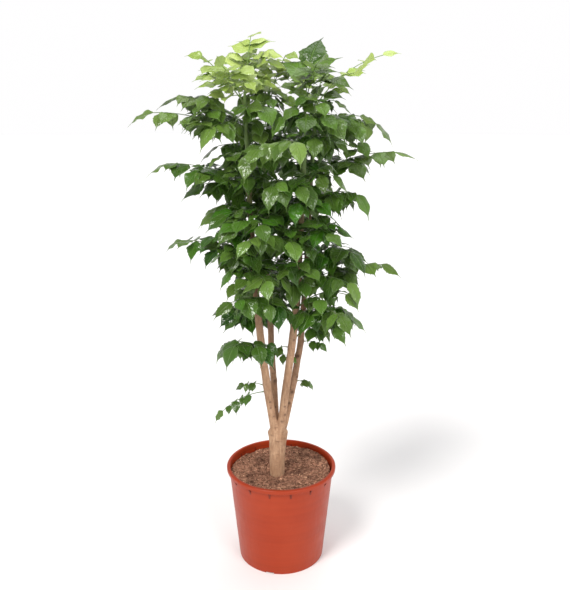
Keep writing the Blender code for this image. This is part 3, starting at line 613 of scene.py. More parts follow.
def boolean(obj, others, operation):
    """Applies one Boolean of all the other objects to this one, and removes them."""
    group = bpy.data.collections.new("operands")
    for other in others:
        bpy.context.scene.collection.objects.unlink(other)
        group.objects.link(other)
    bpy.context.scene.collection.children.link(group)
    modifier = obj.modifiers.new(operation.lower(), "BOOLEAN")
    modifier.operation = operation
    modifier.operand_type = "COLLECTION"
    modifier.collection = group
    modifier.solver = "EXACT"
    graph = bpy.context.evaluated_depsgraph_get()
    joined = bpy.data.meshes.new_from_object(obj.evaluated_get(graph))
    obj.modifiers.clear()
    obj.data = joined
    for other in others:
        bpy.data.objects.remove(other, do_unlink=True)
    bpy.data.collections.remove(group)


def block(size, middle, turn):
    """A plain block, turned about Z through the origin."""
    builder = bmesh.new()
    place = Matrix.Rotation(turn, 4, "Z") @ Matrix.Translation(middle) @ Matrix.Diagonal((*size, 1.0))
    bmesh.ops.create_cube(builder, size=1.0, matrix=place)
    return add_helper("block", mesh_of(builder))


def wedge(turn):
    """One rib under the pot's lip: a three-cornered gusset that dies out down the wall."""
    under_lip = POT_HEIGHT - LIP_HEIGHT
    inside = WALL_TOP_RADIUS - 0.5 * WALL
    corners = (
        (inside, under_lip + 0.5 * LIP_HEIGHT),
        (WALL_TOP_RADIUS + RIB_REACH, under_lip + 0.5 * LIP_HEIGHT),
        (WALL_TOP_RADIUS + RIB_REACH, under_lip - RIB_STRAIGHT * RIB_DROP),
        (wall_radius(under_lip - RIB_DROP) - 0.5 * WALL, under_lip - RIB_DROP),
    )
    builder = bmesh.new()
    half = 0.5 * RIB_THICKNESS
    face = builder.faces.new([builder.verts.new((r, -half, z)) for r, z in corners])
    grown = bmesh.ops.extrude_face_region(builder, geom=[face])["geom"]
    moved = [item for item in grown if isinstance(item, bmesh.types.BMVert)]
    bmesh.ops.translate(builder, verts=moved, vec=(0.0, RIB_THICKNESS, 0.0))
    bmesh.ops.recalc_face_normals(builder, faces=builder.faces)
    bmesh.ops.rotate(builder, verts=builder.verts, matrix=Matrix.Rotation(turn, 3, "Z"))
    return add_helper("rib", mesh_of(builder))


def drain_cutter(turn):
    builder = bmesh.new()
    bmesh.ops.create_cone(
        builder,
        cap_ends=True,
        segments=DRAIN_SIDES,
        radius1=DRAIN_RADIUS,
        radius2=DRAIN_RADIUS,
        depth=2 * (WALL + CUT_BEYOND),
        matrix=Matrix.Translation(polar(DRAIN_CIRCLE, turn, FOOT_RISE + 0.5 * WALL)),
    )
    return add_helper("drain", mesh_of(builder))


# The layout, the same as the solids' own


def wall_radius(z):
    """The outer radius of the pot's wall at this height."""
    share = z / (POT_HEIGHT - LIP_HEIGHT)
    return BASE_RADIUS + (WALL_TOP_RADIUS - BASE_RADIUS) * share


def soil_height(x, y):
    """The uneven top of the soil, lower round the trunk."""
    from_trunk = math.hypot(x - TRUNK[0][0], y - TRUNK[0][1])
    hollow = SOIL_HOLLOW * math.exp(-((from_trunk / HOLLOW_WIDTH) ** 2))
    slope = SOIL_WAVE * math.sin(SOIL_WAVE_TURN * x) - SOIL_TILT * y
    lumps = SOIL_LUMP * noise.noise(Vector((x, y, 0.0)) / SOIL_LUMP_WIDTH)
    return SOIL_TOP - hollow + slope + lumps


def stem_row(stem, z):
    """Height, x, y and radius of a stem at this height."""
    return between([(row[2], row[0], row[1], row[3]) for row in STEMS[stem]], z)


def ring_at(x, y, z, radius, sides):
    return [Vector((x, y, 0.0)) + polar(radius, 2 * math.pi * i / sides, z) for i in range(sides)]


# The plan of a leaf: arcs for its stalks and its leaflets


class Arc:
    """A run of even curvature: its start frame (x on, y left, z up), length and bend down."""

    def __init__(self, start, length, bend):
        self.start = start
        self.length = length
        self.bend = bend

    def at(self, share):
        bent = self.bend * share
        ahead = self.length * math.sin(bent) / self.bend
        below = self.length * (1.0 - math.cos(bent)) / self.bend
        return self.start @ Matrix.Translation((ahead, 0.0, -below)) @ Matrix.Rotation(bent, 4, "Y")


def degrees_in(chance, span):
    """An angle drawn from a span in degrees, in radians."""
    return math.radians(chance.uniform(*span))


def aimed(point, heading, rise, roll=0.0):
    turned = Matrix.Rotation(heading, 4, "Z") @ Matrix.Rotation(-rise, 4, "Y")
    return Matrix.Translation(point) @ turned @ Matrix.Rotation(roll, 4, "X")


def heading_of(frame):
    return math.atan2(frame[1][0], frame[0][0])


def rise_of(frame):
    return math.asin(max(-1.0, min(1.0, frame[2][0])))


def ring(frame, across, through):
    """Four corners of a section, anticlockwise as seen from ahead."""
    corners = ((across, -through), (across, through), (-across, through), (-across, -through))
    return [frame @ Vector((0.0, y, z)) for y, z in corners]


class Blade:
    """A leaflet: an arched, pointed plate on an arc."""

    def __init__(self, arc):
        self.arc = arc
        self.breadth = BLADE_BREADTH * arc.length

    def ring(self, share, half_width, wider, thicker):
        return ring(self.arc.at(share), half_width + wider, 0.5 * BLADE_THICKNESS + thicker)

    def rings(self, wider=0.0, thicker=0.0):
        return [self.ring(at, self.breadth * wide, wider, thicker) for at, wide in BLADE_STATIONS]

    def outline(self, wider=0.0, thicker=0.0):
        """The rings with one more near the root, where the blade is still narrow."""
        at, wide = BLADE_STATIONS[0]
        share = ROOT_CLEAR / self.arc.length
        near = self.ring(share, self.breadth * wide * share / at, wider, thicker)
        return [near, *self.rings(wider, thicker)]


class Stalk:
    """A leaf's axis or one of its side axes, with what grows from it."""

    def __init__(self, root, arc, thick, thin, nodes):
        self.root = root  # the frame of the section that it starts with
        self.arc = arc
        self.thick = thick
        self.thin = thin
        self.nodes = nodes  # shares of the arc where a pair grows
        self.pairs = {share: [None, None] for share in nodes}
        self.end = None

    def radius(self, share):
        return self.thick + (self.thin - self.thick) * min(1.0, share / THIN_FROM)

    def ring(self, share, wider=0.0):
        size = self.radius(share) + wider
        return ring(self.arc.at(share), size, size)

    def shares(self):
        """Where its sections lie: both ends of each node, and the far end."""
        half = 0.5 * NODE_LENGTH / self.arc.length
        return [share + side for share in self.nodes for side in (-half, half)] + [1.0]

    def outline(self, wider=0.0):
        """The sections, with one more near the root on the straight run to the first of them."""
        shares = self.shares()
        size = self.thick + wider
        root = ring(self.root, size, size)
        first = self.ring(shares[0], wider)
        share = ROOT_CLEAR / (self.arc.length * shares[0])
        near = [a.lerp(b, share) for a, b in zip(root, first)]
        return [near, first, *(self.ring(share, wider) for share in shares[1:])]


# Room in the crown: what stands there already, as fattened prisms


def side_faces(rows, count):
    """The quads between neighbouring rings of so many corners."""
    faces = []
    for low in range(0, (rows - 1) * count, count):
        for i in range(count):
            j = (i + 1) % count
            faces.append((low + i, low + j, low + count + j, low + count + i))
    return faces


def prism(rings):
    """Corner points and side faces of a run of sections."""
    return [point for section in rings for point in section], side_faces(len(rings), len(rings[0]))


class Room:
    """A growing set of prisms that a new one must not touch."""

    def __init__(self, across=CLEAR_ACROSS, through=CLEAR_THROUGH):
        self.across = across
        self.through = through
        self.points = []
        self.faces = []
        self.tree = None
        self.closed = []  # the trees of full runs of prisms, so that only a short run is sorted anew

    def add(self, rings):
        self.add_faces(*prism(rings))

    def add_faces(self, points, faces):
        shift = len(self.points)
        self.points.extend(points)
        self.faces.extend(tuple(shift + i for i in face) for face in faces)
        self.tree = None

    def touches(self, tree):
        if self.faces and self.tree is None:
            self.tree = BVHTree.FromPolygons(self.points, self.faces)
            if len(self.faces) > FULL_RUN:
                self.closed.append(self.tree)
                self.points, self.faces, self.tree = [], [], None
        if self.tree and self.tree.overlap(tree):
            return True
        return any(found.overlap(tree) for found in self.closed)


def tree_of(rings):
    return BVHTree.FromPolygons(*prism(rings))


# Growing the plan of one leaf where there is room


class Habit:
    """The lengths, angles and nodes of one leaf."""

    def __init__(self, axis, rise, bend, size, kind):
        self.axis = axis
        self.rise = rise
        self.bend = bend
        self.size = size
        self.pinna_nodes, self.leaflet_nodes, self.fall = kind

    def slots(self):
        """How many leaflets such a leaf could carry."""
        return 1 + 2 * len(self.leaflet_nodes) + 6 * len(self.pinna_nodes)


def fit_blade(frame, heading, size, habit, room, own, chance):
    """The first way to hang a leaflet here that touches nothing, or None."""
    fall = degrees_in(chance, habit.fall)
    bend = degrees_in(chance, BLADE_BEND)
    roll = degrees_in(chance, BLADE_ROLL)
    length = BLADE_LENGTH * size * chance.uniform(*BLADE_SIZE)
    turn = heading + degrees_in(chance, BLADE_TURN)
    for more_fall, more_roll, scale in BLADE_TRIES:
        rise = -fall - math.radians(more_fall)
        start = aimed(frame.translation, turn, rise, roll + math.radians(more_roll))
        blade = Blade(Arc(start, length * scale, bend))
        tree = tree_of(blade.outline())
        if not room.touches(tree) and not own.touches(tree):
            own.add(blade.outline(own.across, own.through))
            return blade
    return None


def grow_pair(stalk, share, size, habit, room, own, chance):
    """A pair of leaflets at one node of a stalk."""
    frame = stalk.arc.at(share)
    for side, spread in enumerate(BOTH_SIDES):
        heading = heading_of(frame) + spread
        stalk.pairs[share][side] = fit_blade(frame, heading, size, habit, room, own, chance)


def grow_end(stalk, habit, room, own, chance):
    frame = stalk.arc.at(1.0)
    stalk.end = fit_blade(frame, heading_of(frame), habit.size, habit, room, own, chance)


def side_stalk(frame, heading, rise, length):
    arc = Arc(aimed(frame.translation, heading, rise), length, PINNA_BEND)
    return Stalk(arc.start, arc, RACHIS_RADIUS, PINNA_RADIUS, [PINNA_NODE])


def grow_pinnae(axis, share, habit, chance):
    """A pair of side axes at one node of the main one."""
    frame = axis.arc.at(share)
    for side, spread in enumerate((PINNA_SPREAD, -PINNA_SPREAD)):
        rise = PINNA_LIFT * rise_of(frame) + degrees_in(chance, PINNA_SWAY)
        length = PINNA_LENGTH * habit.size * chance.uniform(*PINNA_SIZE)
        axis.pairs[share][side] = side_stalk(frame, heading_of(frame) + spread, rise, length)
    return axis.pairs[share]


def plan_leaf(root, habit, room, seed):
    """One leaf that starts here, or None where its stalks find no room."""
    chance = random.Random(seed)
    nodes = sorted(habit.pinna_nodes + habit.leaflet_nodes)
    stout = min(1.0, SLIMMEST + habit.size)
    arc = Arc(aimed(root.translation, heading_of(root), habit.rise), habit.axis, habit.bend)
    axis = Stalk(root, arc, stout * PETIOLE_RADIUS, stout * RACHIS_RADIUS, nodes)
    stalks = [axis]
    for share in habit.pinna_nodes:
        stalks.extend(grow_pinnae(axis, share, habit, chance))
    if any(room.touches(tree_of(stalk.outline())) for stalk in stalks):
        return None
    own = Room(room.across, room.through)
    for stalk in stalks:
        own.add(stalk.outline(CLEAR_OWN))
    for share in habit.leaflet_nodes:
        grow_pair(axis, share, habit.size, habit, room, own, chance)
    for pinna in stalks[1:]:
        grow_pair(pinna, PINNA_NODE, PINNA_LEAFLETS * habit.size, habit, room, own, chance)
    for stalk in stalks:
        grow_end(stalk, habit, room, own, chance)
    return Leaf(axis, stalks, own, habit)


class Leaf:
    def __init__(self, axis, stalks, filled, habit):
        self.axis = axis
        self.stalks = stalks
        self.filled = filled
        self.habit = habit

    def blades(self):
        found = [stalk.end for stalk in self.stalks]
        for stalk in self.stalks:
            found.extend(child for pair in stalk.pairs.values() for child in pair)
        return [blade for blade in found if isinstance(blade, Blade)]


def bark_reach(stem, z, heading):
    """How far from the Z axis the stem's side lies, measured along this heading."""
    _, x, y, radius = stem_row(stem, z)
    return x * math.cos(heading) + y * math.sin(heading) + radius


def root_frame(stem, z, heading):
    """A frame just off the stem's side, square to it."""
    step = 0.5 * NODE_LENGTH
    slope = (bark_reach(stem, z + step, heading) - bark_reach(stem, z - step, heading)) / NODE_LENGTH
    _, x, y, radius = stem_row(stem, z)
    base = Vector((x, y, 0.0)) + polar(radius + GAP, heading, z)
    return aimed(base, heading, -math.atan(slope))


def settle_leaf(stem, z, heading, habit, room, seed, least=0):
    """The fullest leaf that fits at about this heading, or None with fewer leaflets than the least."""
    best = None
    for attempt, (turn, lift) in enumerate(BASE_TRIES):
        root = root_frame(stem, z + lift, heading + math.radians(turn))
        leaf = plan_leaf(root, habit, room, seed + attempt)
        if leaf and (best is None or len(leaf.blades()) > len(best.blades())):
            best = leaf
        if best and len(best.blades()) == habit.slots():
            break
    if best is None or len(best.blades()) < least:
        return None
    room.add_faces(best.filled.points, best.filled.faces)
    for stalk in best.stalks:
        room.add(stalk.outline(room.across))
    return best


def reach_at(heading, z):
    _, left, right = between(REACH, z)
    aside = math.cos(heading)
    side = right if aside > 0 else left
    return CROWN_DEPTH + (side - CROWN_DEPTH) * aside * aside


def main_habit(stem, z, heading, chance):
    _, x, y, _ = stem_row(stem, z)
    out = x * math.cos(heading) + y * math.sin(heading)
    axis = reach_at(heading, z) - out - TIP_REACH
    axis = min(max(axis * chance.choice(AXIS_SHARES), SHORTEST_AXIS), LONGEST_AXIS)
    rise = degrees_in(chance, MAIN_RISE)
    bend = rise + degrees_in(chance, MAIN_DROOP)
    return Habit(axis, rise, bend, chance.uniform(*MAIN_SIZE), MAIN_KIND)


def kind_of(group, axis, size):
    if group == "sprig":
        return SPRIG_KIND if axis > SMALL_SPRIG_AXIS else SMALL_SPRIG_KIND
    if group == "top_leaf":
        return UPRIGHT_KIND if size > UPRIGHT_SIZE else TOP_KIND
    return SIDE_KIND


def add_stems(room):
    spread = 1.0 / math.cos(math.pi / STEM_SIDES)  # to a flat-sided ring's corners from its flats
    for rows in (TRUNK, *STEMS.values()):
        room.add([ring_at(x, y, z, spread * (radius + CLEAR_STEM), STEM_SIDES) for x, y, z, radius in rows])


def crown_plan():
    """Every leaf of the solids by name, placed one after the other where there is room."""
    room = Room()
    add_stems(room)
    leaves = {}

    def settle(group, i, stem, z, heading, habit):
        seed = SEED + GROUP_SEEDS[group] + SEED_STEP * i
        leaves[f"{group}_{i + 1:02d}"] = settle_leaf(stem, z, heading, habit, room, seed)

    for group, rows in (("sprig", LOW_SPRIGS), ("top_leaf", TOP_LEAVES), ("side_leaf", SIDE_LEAVES)):
        for i, (stem, z, heading, rise, bend, axis, size) in enumerate(rows):
            habit = Habit(axis, math.radians(rise), math.radians(bend), size, kind_of(group, axis, size))
            settle(group, i, stem, z, math.radians(heading), habit)
    for i in range(MAIN_LEAVES):
        z = MAIN_LOWEST + (MAIN_HIGHEST - MAIN_LOWEST) * i / (MAIN_LEAVES - 1)
        stem = STEM_ORDER[i % len(STEM_ORDER)]
        heading = FIRST_HEADING + GOLDEN_ANGLE * i
        chance = random.Random(SEED + GROUP_SEEDS["habit"] + i)
        settle("leaf", i, stem, z, heading, main_habit(stem, z, heading, chance))
    return {name: leaf for name, leaf in leaves.items() if leaf}


# The rest of the foliage: more side axes, leaflets and short leaves where there is room


def group_of(name):
    return name.rsplit("_", 1)[0]


def fine_room(leaves):
    """The crown's room again, with the slighter clearances that the fine leaves need."""
    room = Room(FINE_ACROSS, FINE_THROUGH)
    add_stems(room)
    for leaf in leaves.values():
        for stalk in leaf.stalks:
            room.add(stalk.outline(FINE_ACROSS))
        for blade in leaf.blades():
            room.add(blade.outline(FINE_ACROSS, FINE_THROUGH))
    return room


def inner_leaves(room):
    """Short leaves, first before the front stems and then all round, between the long ones."""
    found = {}

    def settle(number, stem, z, heading, habit, seed):
        leaf = settle_leaf(stem, z, heading, habit, room, seed, INNER_LEAST)
        if leaf:
            found[f"inner_leaf_{number:02d}"] = leaf

    for i in range(FRONT_LEAVES):
        z = FRONT_LOWEST + (FRONT_HIGHEST - FRONT_LOWEST) * i / (FRONT_LEAVES - 1)
        stem = FRONT_STEMS[i % len(FRONT_STEMS)]
        seed = SEED + FRONT_SEED + SEED_STEP * i
        chance = random.Random(seed)
        heading = -0.5 * math.pi + degrees_in(chance, FRONT_SWING)
        rise, bend = degrees_in(chance, FRONT_RISE), degrees_in(chance, FRONT_BEND)
        habit = Habit(chance.uniform(*FRONT_AXIS), rise, bend, FRONT_SIZE, INNER_KIND)
        settle(INNER_LEAVES + i + 1, stem, z, heading, habit, seed)
    for i in range(INNER_LEAVES):
        z = INNER_LOWEST + (INNER_HIGHEST - INNER_LOWEST) * ((GOLDEN_SHARE * i) % 1.0)
        stem = STEM_ORDER[i % len(STEM_ORDER)]
        heading = GOLDEN_ANGLE * i
        chance = random.Random(SEED + INNER_SEED + i)
        habit = main_habit(stem, z, heading, chance)
        habit.axis = max(habit.axis * chance.uniform(*INNER_SHARE), SHORTEST_INNER)
        habit.size *= INNER_SIZE
        habit.pinna_nodes, habit.leaflet_nodes, habit.fall = INNER_KIND
        settle(i + 1, stem, z, heading, habit, SEED + INNER_SEED + SEED_STEP * i)
    return found


class Fullness:
    """What one leaf carries beyond its plan: side axes and leaflets."""

    def __init__(self, name, leaf, room, seed):
        self.name = name
        self.leaf = leaf
        self.group = group_of(name)
        if name in SPARSE_LEAVES:
            self.group = "sparse_leaf"
        self.room = room
        self.chance = random.Random(seed)
        self.pinnae = []
        self.blades = []

    def side_axis(self, share, spread, scale, own):
        """One more side axis where there is room for it, or None."""
        node = self.leaf.axis.arc.at(share)
        rise = PINNA_LIFT * rise_of(node) + degrees_in(self.chance, PINNA_SWAY)
        length = PINNA_LENGTH * self.leaf.habit.size * scale * self.chance.uniform(*PINNA_SIZE)
        for turn, lift in PINNA_TRIES:
            heading = heading_of(node) + spread + math.radians(turn)
            pinna = side_stalk(node, heading, rise + math.radians(lift), length)
            tree = tree_of(pinna.outline())
            if not self.room.touches(tree) and not own.touches(tree):
                own.add(pinna.outline(CLEAR_OWN))
                return pinna
        return None

    def hang(self, stalk, share, spreads, scale, own):
        """Leaflets at one place of a stalk."""
        node = stalk.arc.at(share)
        habit = self.leaf.habit
        for spread in spreads:
            heading = heading_of(node) + spread
            blade = fit_blade(node, heading, habit.size * scale, habit, self.room, own, self.chance)
            if blade:
                self.blades.append(blade)

    def grow_side_axes(self, share, scale):
        own = Room(self.room.across, self.room.through)
        for side in (PINNA_SPREAD, -PINNA_SPREAD):
            pinna = self.side_axis(share, side, scale, own)
            if pinna:
                self.hang(pinna, 1.0, (0.0,), scale, own)
                self.hang(pinna, PINNA_NODE, BOTH_SIDES, scale, own)
                self.pinnae.append(pinna)
        self.room.add_faces(own.points, own.faces)

    def grow_pair(self, stalk, share, scale):
        own = Room(self.room.across, self.room.through)
        self.hang(stalk, share, BOTH_SIDES, scale, own)
        self.room.add_faces(own.points, own.faces)


def fill_crown(leaves, room):
    """Adds to every leaf in turn, one round after the other, so that all share the room."""
    made = [Fullness(name, leaf, room, EXTRA_SEED + i) for i, (name, leaf) in enumerate(leaves.items())]
    for turn in range(2):
        for one in made:
            for share, scale in EXTRA_PINNAE[one.group][turn : turn + 1]:
                one.grow_side_axes(share, scale)
        for one in made:
            for share, scale in EXTRA_PAIRS[one.group][turn : turn + 1]:
                one.grow_pair(one.leaf.axis, share, scale)
    for share, scale in PINNA_PAIRS:
        for one in made:
            if one.group != "sparse_leaf":
                for pinna in [*one.leaf.stalks[1:], *one.pinnae]:
                    one.grow_pair(pinna, share, scale)
    return made


# Fine leaflets and stalks as vertex and face arrays


def leaflet_faces():
    """Triangles and quads of one leaflet: a top and an underside that share their edge."""
    inner = ACROSS - 1
    row_size = 2 + 2 * inner

    def vertex(row, column, under):
        if row == 0:
            return 0
        if row == ALONG:
            return 1
        start = 2 + (row - 1) * row_size
        if column == 0:
            return start
        if column == ACROSS:
            return start + 1
        return start + 2 + (inner if under else 0) + column - 1

    faces = []
    for under in (False, True):
        for row in range(ALONG):
            for column in range(ACROSS):
                corners = [vertex(row, column, under), vertex(row + 1, column, under),
                           vertex(row + 1, column + 1, under), vertex(row, column + 1, under)]
                corners = list(dict.fromkeys(corners))
                faces.append(corners if under else corners[::-1])
    return faces


LEAFLET_FACES = leaflet_faces()
LEAFLET_ACROSS = np.linspace(-1.0, 1.0, ACROSS + 1)


def leaflet_stations():
    """Shares of a leaflet's length where its rows of points lie."""
    share = np.linspace(0.0, 1.0, ALONG + 1)
    share[-2] = LAST_STATION
    return share


def half_width(share):
    """A leaflet's half width over its widest, from base to tip: ovate with a long drip tip."""
    body = np.clip(share / LEAFLET_BODY, 0.0, 1.0)
    power = math.log(0.5) / math.log(WIDEST_AT / LEAFLET_BODY)
    main = np.sin(math.pi * body**power) ** BODY_POWER
    tip = TIP_BREADTH * np.clip((1.0 - share) / TIP_RUN, 0.0, 1.0) * (share > TIP_FROM)
    return (main**SHOULDER_POWER + tip**SHOULDER_POWER) ** (1 / SHOULDER_POWER)


def roll_to_light(frame, most):
    """How far a leaflet rolls about its midrib to face the light."""
    across, above = frame.col[1].to_3d(), frame.col[2].to_3d()
    best = math.atan2(-across.dot(LIGHT_FROM), above.dot(LIGHT_FROM))
    return max(-most, min(most, LIGHT_SHARE * best))


def leaflet_sheet(blade, scale, roll, chance):
    """A leaflet's middle surface as a grid, with the directions square to it."""
    length, bend = scale * blade.arc.length, blade.arc.bend
    share = leaflet_stations()
    wide = scale * blade.breadth * half_width(share) * chance.uniform(*WIDTHS)
    if chance.random() < TOOTHED:
        begun, left = (share - TEETH[0]) / TEETH_FADE, (TEETH[1] - share) / TEETH_FADE
        mask = np.clip(begun, 0, 1) * np.clip(left, 0, 1)
        wide = wide * (1.0 + TOOTH * mask * np.where(np.arange(ALONG + 1) % 2, 1.0, -1.0))
    fold, droop, ruffle, beats = [chance.uniform(*span) for span in (FOLD, DROOP, RUFFLE, RUFFLE_BEATS)]
    phases = [chance.uniform(0, 2 * math.pi) for _ in range(2)]
    sway, twist, tip_curl = [chance.uniform(*span) for span in (SWAY, TWIST, TIP_CURL)]
    s = share[:, None]
    c = LEAFLET_ACROSS[None, :]
    wide = wide[:, None]
    lift = wide * (fold * np.abs(c) - droop * c * c)
    lift = lift + ruffle * wide * c * c * np.sin(2 * math.pi * beats * s + np.where(c < 0, *phases))
    lift = lift - tip_curl * length * np.clip(s - TIP_CURL_FROM, 0, 1) ** 2
    side = wide * c + sway * length * s * s
    lift = lift + side * np.tan(twist * s)
    side, lift = side * math.cos(roll) - lift * math.sin(roll), side * math.sin(roll) + lift * math.cos(roll)
    # on the arc that the solid's leaflet follows
    turned = bend * s
    ahead = length * np.sin(turned) / bend + lift * np.sin(turned)
    up = -length * (1.0 - np.cos(turned)) / bend + lift * np.cos(turned)
    normal = np.stack([np.sin(turned), np.zeros_like(turned), np.cos(turned)], axis=-1)
    return np.stack([ahead, side, up], axis=-1), normal


def leaflet_points(blade, scale, roll, chance):
    """Points, map coordinates and side of one leaflet's vertices."""
    share = leaflet_stations()
    grid, normal = leaflet_sheet(blade, scale, roll, chance)
    s = share[:, None]
    c = LEAFLET_ACROSS[None, :]
    thick = LEAFLET_HALF_THICKNESS * (1.0 - np.abs(c) ** EDGE_POWER)
    rib = MIDRIB * np.exp(-((c * MIDRIB_NARROW) ** 2)) * (1.0 - s)
    top = grid + normal * (thick - rib)[..., None]
    under = grid - normal * (thick + MIDRIB_UNDER * rib)[..., None]
    points = [grid[0, ACROSS // 2], grid[-1, ACROSS // 2]]
    maps = [(0.0, 0.5), (1.0, 0.5)]
    below = [0.5, 0.5]
    for row in range(1, ALONG):
        points.extend([grid[row, 0], grid[row, ACROSS]])
        maps.extend([(share[row], 0.0), (share[row], 1.0)])
        below.extend([0.5, 0.5])
        for found, value in ((top, 0.0), (under, 1.0)):
            points.extend(found[row, 1:ACROSS])
            maps.extend((share[row], 0.5 + 0.5 * at) for at in LEAFLET_ACROSS[1:ACROSS])
            below.extend([value] * (ACROSS - 1))
    start = np.array(blade.arc.start)
    return np.array(points) @ start[:3, :3].T + start[:3, 3], maps, below


class Sheaf:
    """A growing mesh of leaflets and stalks for one leaf."""

    def __init__(self):
        self.count = 0
        self.points, self.faces, self.maps, self.slots = [], [], [], []
        self.values = {"tone": [], "age": [], "under": []}

    def add(self, points, faces, maps, slot, **values):
        self.points.append(np.asarray(points))
        self.faces.extend([self.count + i for i in face] for face in faces)
        self.maps.extend(maps)
        self.slots.extend([slot] * len(faces))
        for name, found in values.items():
            self.values[name].extend(np.broadcast_to(found, len(points)))
        self.count += len(points)

    def leaflet(self, blade, scale, most_roll, age, chance):
        roll = roll_to_light(blade.arc.start, most_roll) + chance.uniform(-LOOSE_ROLL, LOOSE_ROLL)
        points, maps, below = leaflet_points(blade, scale, roll, chance)
        at = blade.arc.start.translation
        outer = min(1.0, max(0.0, (math.hypot(at.x, at.y) - OUTER_FROM) / OUTER_RUN))
        age = age + OUTER_PALER * outer + chance.uniform(*LEAFLET_AGE_SWAY)
        tone, held = chance.random(), min(max(age, 0.0), 1.0)
        self.add(points, LEAFLET_FACES, maps, BLADE_SLOT, tone=tone, age=held, under=below)
        # its own short stalk, sunk into what carries it
        path = [blade.arc.at(share).translation for share, _ in OWN_STALK]
        self.tube(path, [radius for _, radius in OWN_STALK], OWN_STALK_SIDES, age)

    def tube(self, path, radii, sides, age):
        points, faces = tube_of(path, radii, sides)
        maps = [(0.0, 0.0)] * len(points)
        self.add(points, faces, maps, STALK_SLOT, tone=STALK_TONE, age=age, under=0.0)

    def made(self, name, materials):
        data = bpy.data.meshes.new(name)
        data.from_pydata(np.concatenate(self.points).tolist(), [], self.faces)
        for title, values in self.values.items():
            set_attribute(data, title, values)
        loops = np.empty(len(data.loops), np.int32)
        data.loops.foreach_get("vertex_index", loops)
        layer = data.uv_layers.new(name="UVMap")
        layer.data.foreach_set("uv", np.array(self.maps, np.float32)[loops].ravel())
        for found in materials:
            data.materials.append(found)
        data.polygons.foreach_set("material_index", np.array(self.slots, np.int32))
        data.shade_smooth()
        data.set_sharp_from_angle(angle=LEAF_SHARP_ANGLE)
        return add_piece(name, data)


def tube_of(path, radii, sides):
    """A closed tube along a path, rounded off at both ends by its radii."""
    path = [Vector(point) for point in path]
    points = []
    side = None
    for i, (at, radius) in enumerate(zip(path, radii)):
        ahead = (path[min(i + 1, len(path) - 1)] - path[max(i - 1, 0)]).normalized()
        if side is None:
            side = ahead.orthogonal().normalized()
        side = (side - ahead * side.dot(ahead)).normalized()
        other = ahead.cross(side)
        for k in range(sides):
            angle = 2 * math.pi * k / sides
            points.append(at + radius * (math.cos(angle) * side + math.sin(angle) * other))
    ends = [range(sides)[::-1], range(len(points) - sides, len(points))]
    return points, [*side_faces(len(path), sides), *ends]


def stalk_tube(sheaf, stalk, sides, steps, nodes, age):
    """A stalk's tube: a swollen root, a slow taper and a slight swelling at each node."""
    shares = [i / steps for i in range(steps + 1)]
    path = [stalk.arc.at(share).translation for share in shares]
    radii = []
    swellings = [(0.0, *ROOT_SWELLING), *((node, *NODE_SWELLING) for node in nodes)]
    for share in shares:
        radius = STALK_SLIM * stalk.radius(share)
        for place, height, run in swellings:
            radius *= 1.0 + height * math.exp(-(((share - place) * stalk.arc.length / run) ** 2))
        radii.append(radius)
    root = stalk.arc.at(0.0)
    path.insert(0, root @ Vector((-SINK, 0.0, 0.0)))
    radii.insert(0, radii[0])
    sheaf.tube(path, radii, sides, age)


def age_of(name, point, chance):
    """How young a leaf is, from 0 to 1: the youngest stand at the top."""
    group = group_of(name)
    if group == "top_leaf":
        base, slope, height = TOP_AGE
        usual = base + slope * (point.z - height) + chance.uniform(*TOP_AGE_SWAY)
        return DARK_TOP_LEAVES.get(name, usual)
    if group == "sprig":
        return SPRIG_AGE
    base, more, run = MAIN_AGE
    return base + more * max(0.0, (point.z - WOOD_TOP) / run) + chance.uniform(*MAIN_AGE_SWAY)


def make_frond(full, materials, has_solid):
    """One leaf's fine mesh, which stands for its solid where it has one."""
    chance = random.Random(SEED + NAME_SEED * len(full.name) + sum(map(ord, full.name)))
    leaf = full.leaf
    sheaf = Sheaf()
    age = age_of(full.name, leaf.axis.root.translation, chance)
    most_roll = MAIN_ROLL if full.group in ("leaf", "side_leaf", "inner_leaf") else YOUNG_ROLL
    scale = LEAFLET_SCALES.get(full.name, LEAFLET_SCALES.get(full.group, 1.0))
    axis = leaf.axis
    nodes = [*axis.nodes, *(share for share, _ in EXTRA_PINNAE[full.group])]
    steps = max(FEWEST_STEPS, int(axis.arc.length / AXIS_STEP))
    stalk_tube(sheaf, axis, AXIS_SIDES, steps, nodes, age)
    for pinna in [*leaf.stalks[1:], *full.pinnae]:
        stalk_tube(sheaf, pinna, PINNA_SIDES, PINNA_STEPS, pinna.nodes, age)
    for blade in [*leaf.blades(), *full.blades]:
        sheaf.leaflet(blade, scale, most_roll, age, chance)
    piece = sheaf.made(f"frond_{full.name}", materials)
    if has_solid:
        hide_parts(full.name)
    return piece


# Pieces


def add_helper(name, data):
    obj = bpy.data.objects.new(name, data)
    bpy.context.scene.collection.objects.link(obj)
    return obj


def add_piece(name, data):
    piece = add_helper(name, data)
    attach(piece, "root")
    return piece


# Node materials


